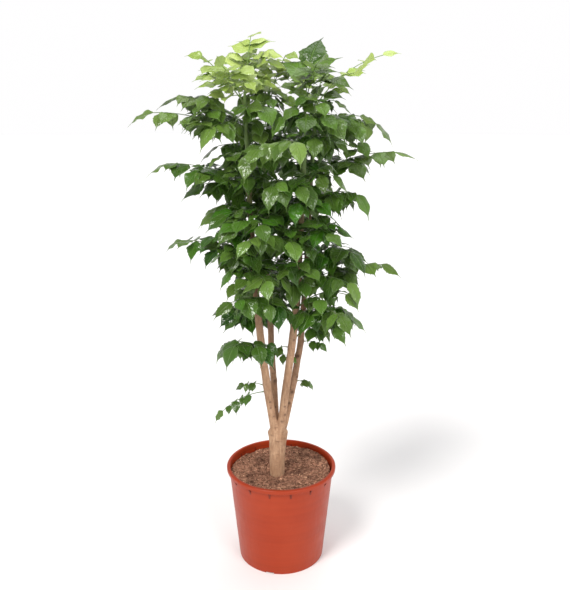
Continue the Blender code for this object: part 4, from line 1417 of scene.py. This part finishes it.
class Paint:
    """A material's node tree, with short ways to add and join nodes."""

    def __init__(self, name):
        self.material = bpy.data.materials.new(name)
        self.material.use_nodes = True
        self.tree = self.material.node_tree
        self.shader = self.tree.nodes["Principled BSDF"]

    def add(self, kind, **settings):
        node = self.tree.nodes.new(kind)
        for key, value in settings.items():
            setattr(node, key, value)
        return node

    def join(self, source, target):
        self.tree.links.new(source, target)

    def put(self, target, value):
        if isinstance(value, bpy.types.NodeSocket):
            self.join(value, target)
        else:
            target.default_value = value

    def attribute(self, name):
        return self.add("ShaderNodeAttribute", attribute_name=name).outputs["Fac"]

    def axes(self, place):
        split = self.add("ShaderNodeSeparateXYZ")
        self.join(place, split.inputs[0])
        return split.outputs

    def math(self, operation, first, second=0.0, third=0.0):
        node = self.add("ShaderNodeMath", operation=operation)
        for target, value in zip(node.inputs, (first, second, third)):
            self.put(target, value)
        return node.outputs[0]

    def times(self, value, by):
        return self.math("MULTIPLY", value, by)

    def folded(self, value):
        """Twice how far a value lies from a half."""
        return self.math("ABSOLUTE", self.math("MULTIPLY_ADD", value, 2.0, -1.0))

    def spread(self, value, low, high, out_low=0.0, out_high=1.0):
        """A value stretched from one range to another and held within it."""
        node = self.add("ShaderNodeMapRange")
        keys = ("Value", "From Min", "From Max", "To Min", "To Max")
        for key, found in zip(keys, (value, low, high, out_low, out_high)):
            self.put(node.inputs[key], found)
        return node.outputs["Result"]

    def mix(self, factor, *colours):
        node = self.add("ShaderNodeMix", data_type="RGBA")
        self.put(node.inputs[0], factor)
        for target, colour in zip(node.inputs[6:8], colours):
            self.put(target, colour if isinstance(colour, bpy.types.NodeSocket) else (*colour, 1.0))
        return node.outputs[2]

    def laid(self, under, over, value, low, high, most=1.0):
        """One colour laid over another where a value is high."""
        return self.mix(self.spread(value, low, high, 0.0, most), under, over)

    def place(self, stretch=(1.0, 1.0, 1.0)):
        """Object coordinates, stretched."""
        coordinates = self.add("ShaderNodeTexCoord").outputs["Object"]
        mapping = self.add("ShaderNodeMapping")
        mapping.inputs["Scale"].default_value = stretch
        self.join(coordinates, mapping.inputs["Vector"])
        return mapping.outputs["Vector"]

    def noise(self, place, scale, detail=4, rough=0.55):
        node = self.add("ShaderNodeTexNoise")
        self.join(place, node.inputs["Vector"])
        node.inputs["Scale"].default_value = scale
        node.inputs["Detail"].default_value = detail
        node.inputs["Roughness"].default_value = rough
        return node.outputs["Fac"]

    def bump(self, height, distance, strength=1.0, over=None):
        node = self.add("ShaderNodeBump")
        node.inputs["Strength"].default_value = strength
        node.inputs["Distance"].default_value = distance
        self.join(height, node.inputs["Height"])
        if over:
            self.join(over, node.inputs["Normal"])
        return node.outputs["Normal"]

    def finish(self, colour, roughness, normal=None, **constants):
        self.put(self.shader.inputs["Base Color"], colour)
        self.put(self.shader.inputs["Roughness"], roughness)
        if normal:
            self.join(normal, self.shader.inputs["Normal"])
        for key, value in constants.items():
            self.shader.inputs[key.replace("_", " ")].default_value = value
        return self.material


def leaf_material():
    paint = Paint("leaf_blade")
    tone, age, under = [paint.attribute(name) for name in ("tone", "age", "under")]
    along, across, _ = paint.axes(paint.add("ShaderNodeUVMap", uv_map="UVMap").outputs["UV"])
    aside = paint.folded(across)
    # side veins leave the midrib forwards and bend towards the tip
    bent = paint.times(paint.math("POWER", aside, VEIN_BEND), -VEIN_LEAN)
    ridge = paint.folded(paint.math("FRACT", paint.math("MULTIPLY_ADD", along, VEINS, bent)))
    side_vein = paint.spread(ridge, low=0.80, high=1.0, out_low=0.0, out_high=0.55)
    midrib = paint.spread(aside, low=0.10, high=0.02)
    vein = paint.math("MAXIMUM", midrib, side_vein)
    place = paint.place()
    mottle = paint.noise(place, scale=55.0, detail=3)
    dark = paint.laid(paint.mix(tone, *LEAF_DARK), LEAF_MOTTLE, mottle, low=0.35, high=0.7, most=0.5)
    green = paint.mix(age, dark, paint.mix(tone, *LEAF_YOUNG))
    green = paint.mix(paint.times(vein, VEIN_SHOWS), green, paint.mix(age, *LEAF_VEIN))
    green = paint.mix(paint.times(under, UNDER_SHOWS), green, paint.mix(age, *LEAF_UNDER))
    # the blade is puckered between its veins, a young one less
    pucker = paint.noise(place, scale=115.0, detail=2)
    height = paint.math("SUBTRACT", paint.times(pucker, PUCKER), vein)
    height = paint.times(height, paint.spread(age, low=0.15, high=0.75, out_low=1.0, out_high=0.2))
    roughness = paint.spread(under, low=0.3, high=0.8, out_low=0.20, out_high=0.55)
    return paint.finish(green, roughness, paint.bump(height, LEAF_RELIEF), Specular_IOR_Level=0.52)


def stalk_material():
    paint = Paint("leaf_stalk")
    place = paint.place()
    green = paint.mix(paint.attribute("age"), *STALK_GREEN)
    green = paint.laid(green, STALK_BROWN, paint.noise(place, scale=40.0), low=0.45, high=0.75)
    normal = paint.bump(paint.noise(place, scale=900.0, detail=2), STALK_RELIEF, strength=0.5)
    return paint.finish(green, roughness=0.42, normal=normal)


def bark_material():
    paint = Paint("bark")
    brown, scar, green = [paint.attribute(name) for name in ("brown", "scar", "green")]
    place = paint.place()
    streak = paint.noise(paint.place(ALONG_STEM), scale=190.0, detail=5, rough=0.6)
    patch = paint.noise(place, scale=34.0, detail=4)
    fine = paint.noise(place, scale=620.0, detail=3)
    tan = paint.laid(*BARK_TAN, streak, low=0.30, high=0.72)
    tan = paint.laid(tan, BARK_PATCH, patch, low=0.44, high=0.64, most=0.6)
    bark = paint.mix(brown, tan, paint.laid(*BARK_BROWN, streak, low=0.30, high=0.72))
    bark = paint.mix(green, bark, BARK_GREEN)
    bark = paint.mix(paint.times(scar, SCAR_SHOWS), bark, BARK_SCAR)
    # short dark rings and cracks run round the stems
    ring = paint.noise(paint.place(ROUND_STEM), scale=170.0, detail=4, rough=0.65)
    ring = paint.spread(ring, low=0.57, high=0.68)
    bark = paint.mix(paint.times(ring, RING_SHOWS), bark, BARK_RING)
    bark = paint.laid(bark, BARK_SPECK, fine, low=0.60, high=0.72, most=0.35)
    height = paint.math("ADD", streak, paint.times(fine, FINE_RELIEF_SHARE))
    height = paint.math("SUBTRACT", height, paint.times(ring, RING_DEPTH))
    return paint.finish(bark, roughness=0.82, normal=paint.bump(height, BARK_FINE_RELIEF, strength=0.9))


def shoot_material():
    paint = Paint("shoot")
    place = paint.place(ALONG_SHOOT)
    green = paint.mix(paint.noise(place, scale=120.0), *SHOOT_GREEN)
    green = paint.mix(paint.attribute("brown"), green, SHOOT_BARK)
    normal = paint.bump(paint.noise(place, scale=500.0), SHOOT_RELIEF, strength=0.6)
    return paint.finish(green, roughness=0.5, normal=normal)


def pot_painted_shade(paint, place):
    """Where shade is painted: in the corners beside the gussets and under the lip, where their shadows fall.
    """
    x, y, z = paint.axes(place)
    turn = paint.math("SUBTRACT", paint.math("ARCTAN2", y, x), RIB_TURN)
    beat = paint.math("FRACT", paint.times(turn, RIBS / (2 * math.pi)))
    apart = paint.math("SUBTRACT", 0.5, paint.math("ABSOLUTE", paint.math("SUBTRACT", beat, 0.5)))
    under_lip = POT_HEIGHT - LIP_HEIGHT
    foot = under_lip - RIB_DROP
    at_rib = paint.times(paint.spread(apart, RIB_SHADE_TO, RIB_SHADE_FROM), paint.spread(z, foot - RIB_FADE, foot))
    start, end, most = LIP_PAINTED_SHADE
    at_lip = paint.spread(z, under_lip - start, under_lip - end, 0.0, most)
    below = paint.spread(z, under_lip + LIP_FADE, under_lip - LIP_FADE)
    return paint.times(paint.math("MAXIMUM", at_rib, at_lip), below)


def pot_material():
    paint = Paint("pot_plastic")
    place = paint.place()
    band = paint.noise(paint.place(ROUND_POT), scale=60.0, detail=3)
    cloud = paint.noise(place, scale=9.0, detail=3)
    scuff = paint.noise(paint.place(DOWN_POT), scale=160.0, detail=4)
    red = paint.laid(*POT_RED, band, low=0.3, high=0.7)
    red = paint.laid(red, POT_CLOUD, cloud, low=0.45, high=0.8, most=0.5)
    red = paint.laid(red, POT_SCUFF, scuff, low=0.66, high=0.80, most=0.25)
    # painted shade laid beside the gussets and under the lip
    red = paint.mix(paint.times(pot_painted_shade(paint, place), PAINTED_SHADE_SHOWS), red, POT_PAINTED_SHADE)
    roughness = paint.spread(scuff, low=0.35, high=0.75, out_low=0.34, out_high=0.50)
    normal = paint.bump(band, POT_BAND_RELIEF, strength=0.2)
    grain = paint.noise(place, scale=700.0, detail=2)
    normal = paint.bump(grain, POT_GRAIN_RELIEF, strength=0.5, over=normal)
    return paint.finish(red, roughness, normal, Specular_IOR_Level=0.32)


def soil_material():
    paint = Paint("potting_soil")
    place = paint.place()
    coarse = paint.noise(place, scale=120.0, detail=6, rough=0.7)
    fine = paint.noise(place, scale=900.0, detail=3, rough=0.7)
    damp = paint.noise(place, scale=22.0, detail=3)
    earth = paint.laid(*SOIL_EARTH, coarse, low=0.38, high=0.62)
    earth = paint.laid(earth, SOIL_GRAIN, fine, low=0.60, high=0.70, most=0.7)
    # damp peat shows in wide darker patches
    earth = paint.laid(earth, SOIL_DAMP, damp, low=0.48, high=0.66, most=0.75)
    normal = paint.bump(paint.math("ADD", coarse, paint.times(fine, CRUMB_RELIEF_SHARE)), SOIL_RELIEF)
    return paint.finish(earth, roughness=0.95, normal=normal, Specular_IOR_Level=0.2)


def chip_material():
    paint = Paint("soil_chip")
    place = paint.place()
    damp = paint.noise(place, scale=22.0, detail=3)
    grain = paint.noise(place, scale=700.0)
    colour = paint.mix(paint.attribute("tone"), *CHIP_BARK)
    colour = paint.laid(colour, CHIP_DAMP, damp, low=0.48, high=0.66, most=0.6)
    colour = paint.laid(colour, CHIP_GRAIN, grain, low=0.45, high=0.7, most=0.6)
    normal = paint.bump(paint.noise(place, scale=1200.0, detail=3), CHIP_RELIEF, strength=0.8)
    return paint.finish(colour, roughness=0.9, normal=normal, Specular_IOR_Level=0.25)


# The trunk, the stems and the green shoots


def dense_path(rows, step):
    """The rows of a stem at an even step of height, straight between them."""
    table = [(row[2], row[0], row[1], row[3]) for row in rows]
    low, high = table[0][0], table[-1][0]
    count = max(2, round((high - low) / step))
    found = []
    for i in range(count + 1):
        z, x, y, radius = between(table, low + (high - low) * i / count)
        found.append((Vector((x, y, z)), radius))
    return found


def smoothed(path, times):
    """The path with its kinks rounded off."""
    points = [point.copy() for point, _ in path]
    for _ in range(times):
        inner = [0.25 * a + 0.5 * b + 0.25 * c for a, b, c in zip(points, points[1:], points[2:])]
        points = [points[0], *inner, points[-1]]
    return [(point, radius) for point, (_, radius) in zip(points, path)]


def knot_places():
    found = []
    for stem, z, heading, size in KNOTS:
        _, x, y, radius = stem_row(stem, z)
        found.append((Vector((x, y, 0.0)) + polar(radius, math.radians(heading), z), size))
    return found


def leaf_bases(leaves):
    """Where each leaf stands on its stem."""
    return [leaf.axis.root.translation.copy() for leaf in leaves.values()]


def joined_mesh(tubes, voxel):
    """Closed tubes as one body, remeshed so that they grow into each other."""
    builder = bmesh.new()
    for points, faces in tubes:
        verts = [builder.verts.new(point) for point in points]
        for face in faces:
            builder.faces.new([verts[i] for i in face])
    helper = add_helper("tubes", mesh_of(builder))
    modifier = helper.modifiers.new("remesh", "REMESH")
    modifier.mode = "VOXEL"
    modifier.voxel_size = voxel
    modifier.adaptivity = 0.0
    graph = bpy.context.evaluated_depsgraph_get()
    data = bpy.data.meshes.new_from_object(helper.evaluated_get(graph))
    bpy.data.objects.remove(helper, do_unlink=True)
    return data


def read_rows(rows, key):
    found = np.empty(len(rows) * 3, np.float32)
    rows.foreach_get(key, found)
    return found.reshape(-1, 3).astype(float)


def write_points(data, points):
    data.vertices.foreach_set("co", points.astype(np.float32).ravel())
    data.update()


def smooth_points(data, points, times):
    """Each vertex drawn to the middle of its neighbours."""
    edges = np.empty(len(data.edges) * 2, np.int32)
    data.edges.foreach_get("vertices", edges)
    edges = edges.reshape(-1, 2)
    counts = np.bincount(edges.ravel(), minlength=len(points))[:, None]
    for _ in range(times):
        total = np.zeros_like(points)
        np.add.at(total, edges[:, 0], points[edges[:, 1]])
        np.add.at(total, edges[:, 1], points[edges[:, 0]])
        points = 0.5 * points + 0.5 * total / counts
    return points


def set_attribute(data, name, values):
    data.attributes.new(name, "FLOAT", "POINT").data.foreach_set("value", np.asarray(values, np.float32))


def noise_at(points, scale, seed):
    """Smooth noise from -1 to 1 at each point, with its own scale along each axis."""
    return np.array([noise.noise(Vector(point)) for point in points * np.array(scale) + seed])


def near(points, place, width):
    """A hill over a place: 1 at it, and falling off over this width."""
    return np.exp(-((np.linalg.norm(points - np.array(place), axis=1) / width) ** 2))


def ramp(values, start, end):
    """From 0 to 1 between two values."""
    return np.clip((values - start) / (end - start), 0.0, 1.0)


def nearest_stem(points):
    """For each point the index of the stem that it lies on."""
    distances = []
    for rows in STEMS.values():
        table = np.array(rows)
        x = np.interp(points[:, 2], table[:, 2], table[:, 0])
        y = np.interp(points[:, 2], table[:, 2], table[:, 1])
        distances.append(np.hypot(points[:, 0] - x, points[:, 1] - y))
    return np.argmin(distances, axis=0)


def bark_relief(points, stem, bases):
    """How far each point of the bark stands out, and how dark a scar it has."""
    z = points[:, 2]
    relief = sum(height * noise_at(points, waves, seed) for height, waves, seed in BARK_RELIEF)
    height, waves, seed = FOOT_RELIEF
    relief += height * noise_at(points, waves, seed) * ramp(z, *FOOT_RELIEF_RUN)
    scar = np.zeros(len(points))
    rim_height, rim_place, rim_width = KNOT_RIM
    pit_depth, pit_width = KNOT_PIT
    for place, size in knot_places():
        apart = np.linalg.norm(points - np.array(place), axis=1) / size
        rim = np.exp(-(((apart - rim_place) / rim_width) ** 2))
        relief += size * (rim_height * rim - pit_depth * near(points, place, pit_width * size))
        scar = np.maximum(scar, near(points, place, KNOT_SCAR * size))
    height, width = LEAF_FOOT
    for base in bases:
        foot = near(points, base, width)
        relief += height * foot
        scar = np.maximum(scar, LEAF_FOOT_SCAR * foot)
    for place, width, height in COLLAR_BUMPS:
        relief += height * near(points, place, width)
    marks = noise_at(np.stack([0 * z, stem * RING_MARK_APART, z], axis=1), *RING_MARK_NOISE)
    relief += RING_MARK * np.clip(marks - RING_MARK_FROM, 0.0, 1.0)
    return relief, np.clip(scar, 0.0, 1.0)


def bark_brown(points, stem):
    """How brown the bark is: more so further up, on the stems behind and in patches."""
    z = points[:, 2]
    start, end, most = BROWN
    brown = np.minimum(ramp(z, start, end), most)
    start, end, most = BACK_BROWN
    behind = np.isin(stem, [list(STEMS).index(name) for name in BACK_STEMS])
    brown = brown + np.where(behind, most * ramp(z, start, end), 0.0)
    start, end, most = PATCHES
    return np.clip(brown + most * noise_at(points, *PATCH_NOISE) * ramp(z, start, end), 0.0, 1.0)


def make_bark(leaves):
    tubes = []
    wood = [[row for row in rows if row[2] <= WOOD_TOP] for rows in STEMS.values()]
    for rows, sides in ((TRUNK, BARK_SIDES[0]), *((rows, BARK_SIDES[1]) for rows in wood)):
        path = smoothed(dense_path(rows, BARK_STEP), SMOOTHINGS)
        tubes.append(tube_of([at for at, _ in path], [radius for _, radius in path], sides))
    data = joined_mesh(tubes, VOXEL)
    points = smooth_points(data, read_rows(data.vertices, "co"), SMOOTHINGS)
    write_points(data, points)
    stem = nearest_stem(points)
    bases = [base for base in leaf_bases(leaves) if base.z < WOOD_TOP + LEAF_FOOT_OVER]
    relief, scar = bark_relief(points, stem, bases)
    write_points(data, points + read_rows(data.vertex_normals, "vector") * relief[:, None])
    start, end, most = GREEN
    set_attribute(data, "brown", bark_brown(points, stem))
    set_attribute(data, "scar", scar)
    set_attribute(data, "green", most * ramp(points[:, 2], start, end))
    data.materials.clear()
    data.materials.append(bark_material())
    data.shade_smooth()
    piece = add_piece("bark_stems", data)
    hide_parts("trunk")


def swollen(at, radius, bases):
    """A shoot's radius here, thicker where a leaf stands on it."""
    height, run = SWELLING
    times, more = SWELLING_REACH
    swell = 0.0
    for base in bases:
        if math.hypot(base.x - at.x, base.y - at.y) < times * radius + more:
            swell = max(swell, math.exp(-(((base.z - at.z) / run) ** 2)))
    return radius * (1.0 + height * swell)


def make_shoots(leaves):
    paint = shoot_material()
    bases = [base for base in leaf_bases(leaves) if base.z > WOOD_TOP - LEAF_FOOT_OVER]
    for stem, rows in STEMS.items():
        upper = [row for row in rows if row[2] >= WOOD_TOP]
        path = smoothed(dense_path(upper, SHOOT_STEP), SMOOTHINGS)
        points = [at for at, _ in path]
        radii = [swollen(at, radius, bases) for at, radius in path]
        x, y, z, radius = upper[-1]
        for share in BUD_SHARES:
            points.append(Vector((x, y, z + share * BUD_LENGTH * radius)))
            radii.append(radius * (BUD_ROOT - (BUD_ROOT - BUD_TIP) * share))
        corners, faces = tube_of(points, radii, SHOOT_SIDES)
        data = bpy.data.meshes.new("shoot")
        data.from_pydata([tuple(corner) for corner in corners], [], faces)
        heights = np.array([corner.z for corner in corners])
        set_attribute(data, "brown", ramp(heights, WOOD_TOP + SHOOT_BROWN, WOOD_TOP))
        data.materials.append(paint)
        data.shade_smooth()
        piece = add_piece(f"green_shoot_{stem}", data)
        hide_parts(f"shoot_{stem}")


# The pot


def quarter(radius, middle, start, steps):
    """Points on a quarter circle from a start angle clockwise, both ends included."""
    turns = [start - 0.5 * math.pi * i / steps for i in range(steps + 1)]
    return [(middle[0] + radius * math.cos(turn), middle[1] + radius * math.sin(turn)) for turn in turns]


def pot_profile():
    """The turned half outline with the lip rounded and the wall very slightly banded."""
    floor = FOOT_RISE + WALL
    under_lip = POT_HEIGHT - LIP_HEIGHT
    foot_inner = BASE_RADIUS - FOOT_WIDTH
    points = [(0.0, floor), (0.5 * BASE_RADIUS, floor)]
    steps = WALL_RINGS // 2
    for i in range(steps + 1):
        z = floor + (under_lip - floor) * i / steps
        points.append((wall_radius(z) - WALL, z))
    # over the lip: a rounded edge inside, a nearly flat top, and a wide round outside
    edge, steps = LIP_EDGE_INSIDE
    points.extend(quarter(edge, (LIP_INNER_RADIUS + edge, POT_HEIGHT - edge), math.pi, steps))
    edge, steps = LIP_EDGE_OUTSIDE
    points.extend(quarter(edge, (RIM_RADIUS - edge, POT_HEIGHT - edge), 0.5 * math.pi, steps))
    points.extend((RIM_RADIUS - inwards, under_lip + up) for inwards, up in LIP_SKIRT)
    points.append((WALL_TOP_RADIUS + LIP_FILLET, under_lip))
    points.append((WALL_TOP_RADIUS, under_lip - LIP_FILLET))
    for i in range(1, WALL_RINGS):
        z = under_lip * (1.0 - i / WALL_RINGS)
        band = WALL_BAND * math.sin(WALL_BEATS[0] * i) * math.sin(WALL_BEATS[1] * i + 1.0)
        points.append((wall_radius(z) + band, z))
    underside = (
        (BASE_RADIUS, FOOT_EDGE),
        (BASE_RADIUS - FOOT_EDGE, 0.0),
        (foot_inner, 0.0),
        (foot_inner - FOOT_DRAFT, FOOT_RISE),
        (CENTRE_DISC_RADIUS + FOOT_DRAFT, FOOT_RISE),
        (CENTRE_DISC_RADIUS, 0.0),
        (0.0, 0.0),
    )
    return [*points, *underside]


def make_pot():
    builder = bmesh.new()
    verts = [builder.verts.new((radius, 0.0, z)) for radius, z in pot_profile()]
    for low, high in zip(verts, verts[1:]):
        builder.edges.new((low, high))
    bmesh.ops.spin(
        builder,
        geom=builder.verts[:] + builder.edges[:],
        axis=(0.0, 0.0, 1.0),
        cent=(0.0, 0.0, 0.0),
        steps=TURNED_SIDES,
        angle=2 * math.pi,
    )
    bmesh.ops.remove_doubles(builder, verts=builder.verts, dist=JOIN_WITHIN)
    bmesh.ops.recalc_face_normals(builder, faces=builder.faces)
    pot = add_piece("nursery_pot", mesh_of(builder))
    boolean(pot, [wedge(RIB_TURN + 2 * math.pi * i / RIBS) for i in range(RIBS)], "UNION")
    cutters = [drain_cutter(2 * math.pi * i / DRAIN_HOLES) for i in range(DRAIN_HOLES)]
    notch_top = FOOT_RISE - GAP
    notch_middle = (BASE_RADIUS, 0.0, 0.5 * (notch_top - CUT_BEYOND))
    notch_size = (NOTCH_REACH, NOTCH_WIDTH, notch_top + CUT_BEYOND)
    for i in range(NOTCHES):
        cutters.append(block(notch_size, notch_middle, NOTCH_TURN + 2 * math.pi * i / NOTCHES))
    boolean(pot, cutters, "DIFFERENCE")
    pot.data.materials.clear()
    pot.data.materials.append(pot_material())
    pot.data.shade_smooth()
    pot.data.set_sharp_from_angle(angle=POT_SHARP_ANGLE)
    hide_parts("pot")


# The soil


def soil_edge(turn):
    """The radius of the soil's top edge: it has shrunk a little from the wall."""
    shrink = SOIL_SHRINK * (1.0 + SOIL_EDGE_SWAY * math.sin(3 * turn + 1.0))
    return wall_radius(SOIL_TOP) - WALL - GAP - shrink


def rough_soil(x, y):
    """The soil's height with its crumbs."""
    here = Vector((x, y, 0.0))
    return soil_height(x, y) + sum(height * noise.noise(here * waves) for height, waves in CRUMBS)


def make_soil():
    centre = Vector((TRUNK[0][0], TRUNK[0][1], 0.0))
    hole = TRUNK[1][3] - SOIL_OVERLAP
    floor = FOOT_RISE + WALL + GAP
    turns = [2 * math.pi * i / SOIL_SPOKES for i in range(SOIL_SPOKES)]
    rings = [[centre + polar(hole, turn, floor) for turn in turns]]
    for step in range(SOIL_STEPS + 1):
        share = (step / SOIL_STEPS) ** SOIL_STEP_POWER
        ring = []
        for turn in turns:
            at = (centre + polar(hole, turn)).lerp(polar(soil_edge(turn), turn), share)
            ring.append(Vector((at.x, at.y, rough_soil(at.x, at.y))))
        rings.append(ring)
    shoulder = SOIL_TOP - SOIL_SHOULDER
    for z in (shoulder, floor):
        rings.append([polar(wall_radius(z) - WALL - GAP, turn, z) for turn in turns])
    builder = bmesh.new()
    loops = [[builder.verts.new(point) for point in ring] for ring in rings]
    for low, high in zip(loops, [*loops[1:], loops[0]]):
        for i in range(SOIL_SPOKES):
            j = (i + 1) % SOIL_SPOKES
            builder.faces.new((low[i], low[j], high[j], high[i]))
    bmesh.ops.recalc_face_normals(builder, faces=builder.faces)
    data = mesh_of(builder)
    data.materials.append(soil_material())
    data.shade_smooth()
    piece = add_piece("potting_soil", data)
    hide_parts("soil")


def chip_points(chance, size):
    """A flat splinter of bark: a squashed box with uneven corners."""
    long, wide, thick = [size * chance.uniform(*span) for span in CHIP_SPANS]
    points = []
    for x in (-1, 1):
        for y in (-1, 1):
            for z in (-1, 1):
                out = Vector([chance.uniform(*CHIP_CORNERS) for _ in range(3)])
                points.append(Vector((x * long * out.x, y * wide * out.y, z * thick * out.z)) * 0.5)
    return points


def make_chips():
    """Crumbs of bark and peat that lie on the soil, half sunk in it."""
    chance = random.Random(SEED + CHIP_SEED)
    points, faces, tones = [], [], []
    centre = Vector((TRUNK[0][0], TRUNK[0][1], 0.0))
    while len(faces) < CHIPS * len(CHIP_FACES):
        turn = chance.uniform(0, 2 * math.pi)
        radius = soil_edge(turn) * math.sqrt(chance.random()) * CHIP_REACH
        at = polar(radius, turn)
        if (at - centre).length < TRUNK[1][3] + CHIP_CLEAR:
            continue
        size = CHIP_SIZE + CHIP_MORE * chance.random() ** CHIP_SIZE_POWER
        light = chance.random() < LIGHT_CHIPS
        spin = Matrix.Rotation(chance.uniform(0, 2 * math.pi), 3, "Z")
        tip = Matrix.Rotation(math.radians(chance.gauss(0, CHIP_TIP)), 3, "X")
        lean = Matrix.Rotation(math.radians(chance.gauss(0, CHIP_LEAN)), 3, "Y")
        place = Vector((at.x, at.y, rough_soil(at.x, at.y) + CHIP_LIFT * size))
        start = len(points)
        corners = chip_points(chance, size)
        points.extend(tuple(place + spin @ tip @ lean @ corner) for corner in corners)
        faces.extend([start + i for i in face] for face in CHIP_FACES)
        tones.extend([chance.uniform(*(LIGHT_TONES if light else DARK_TONES))] * len(corners))
    data = bpy.data.meshes.new("chips")
    data.from_pydata(points, [], faces)
    set_attribute(data, "tone", tones)
    data.materials.append(chip_material())
    piece = add_piece("soil_chips", data)


# The studio


def make_stage():
    builder = bmesh.new()
    bmesh.ops.create_circle(builder, cap_ends=True, segments=FLOOR_SIDES, radius=FLOOR_RADIUS)
    floor = add_helper("floor", mesh_of(builder))
    paint = Paint("floor")
    floor.data.materials.append(paint.finish(FLOOR_COLOUR, FLOOR_ROUGHNESS))


def sun(name, source, strength, spread, colour):
    """A broad soft light from the side where its source stands."""
    light = bpy.data.lights.new(name, "SUN")
    light.energy = strength
    light.angle = math.radians(spread)
    light.color = colour
    obj = bpy.data.objects.new(name, light)
    obj.location = source
    obj.rotation_euler = Vector(source).to_track_quat("Z", "Y").to_euler()
    bpy.context.scene.collection.objects.link(obj)


def make_world():
    """White walls all round up to eye level, and a dimmer ceiling."""
    world = bpy.data.worlds.new("studio")
    world.use_nodes = True
    tree = world.node_tree
    split = tree.nodes.new("ShaderNodeSeparateXYZ")
    tree.links.new(tree.nodes.new("ShaderNodeTexCoord").outputs["Generated"], split.inputs[0])
    dim = tree.nodes.new("ShaderNodeMapRange")
    ends = {"From Min": WALLS_TO, "From Max": CEILING_FROM, "To Min": 1.0, "To Max": CEILING}
    for key, value in ends.items():
        dim.inputs[key].default_value = value
    tree.links.new(split.outputs["Z"], dim.inputs["Value"])
    background = tree.nodes["Background"]
    background.inputs["Color"].default_value = WALL_COLOUR
    tree.links.new(dim.outputs["Result"], background.inputs["Strength"])
    bpy.context.scene.world = world


def make_lights():
    make_world()
    for row in SUNS:
        sun(*row)
    bpy.context.scene.view_settings.view_transform = "Standard"


def make_camera():
    camera = bpy.data.cameras.new("camera")
    camera.sensor_width = SENSOR
    camera.lens = FOCAL_PIXELS * SENSOR / PHOTO_HEIGHT
    obj = bpy.data.objects.new("camera", camera)
    obj.location = CAMERA_PLACE
    obj.rotation_euler = (0.5 * math.pi - CAMERA_PITCH, 0.0, 0.0)
    bpy.context.scene.collection.objects.link(obj)
    bpy.context.scene.camera = obj


def main():
    make_camera()
    leaves = crown_plan()
    room = fine_room(leaves)
    solid_leaves = set(leaves)
    leaves.update(inner_leaves(room))
    full = fill_crown(leaves, room)
    materials = (leaf_material(), stalk_material())
    for one in full:
        make_frond(one, materials, one.name in solid_leaves)
    make_bark(leaves)
    make_shoots(leaves)
    make_pot()
    make_soil()
    make_chips()
    make_stage()
    make_lights()


main()
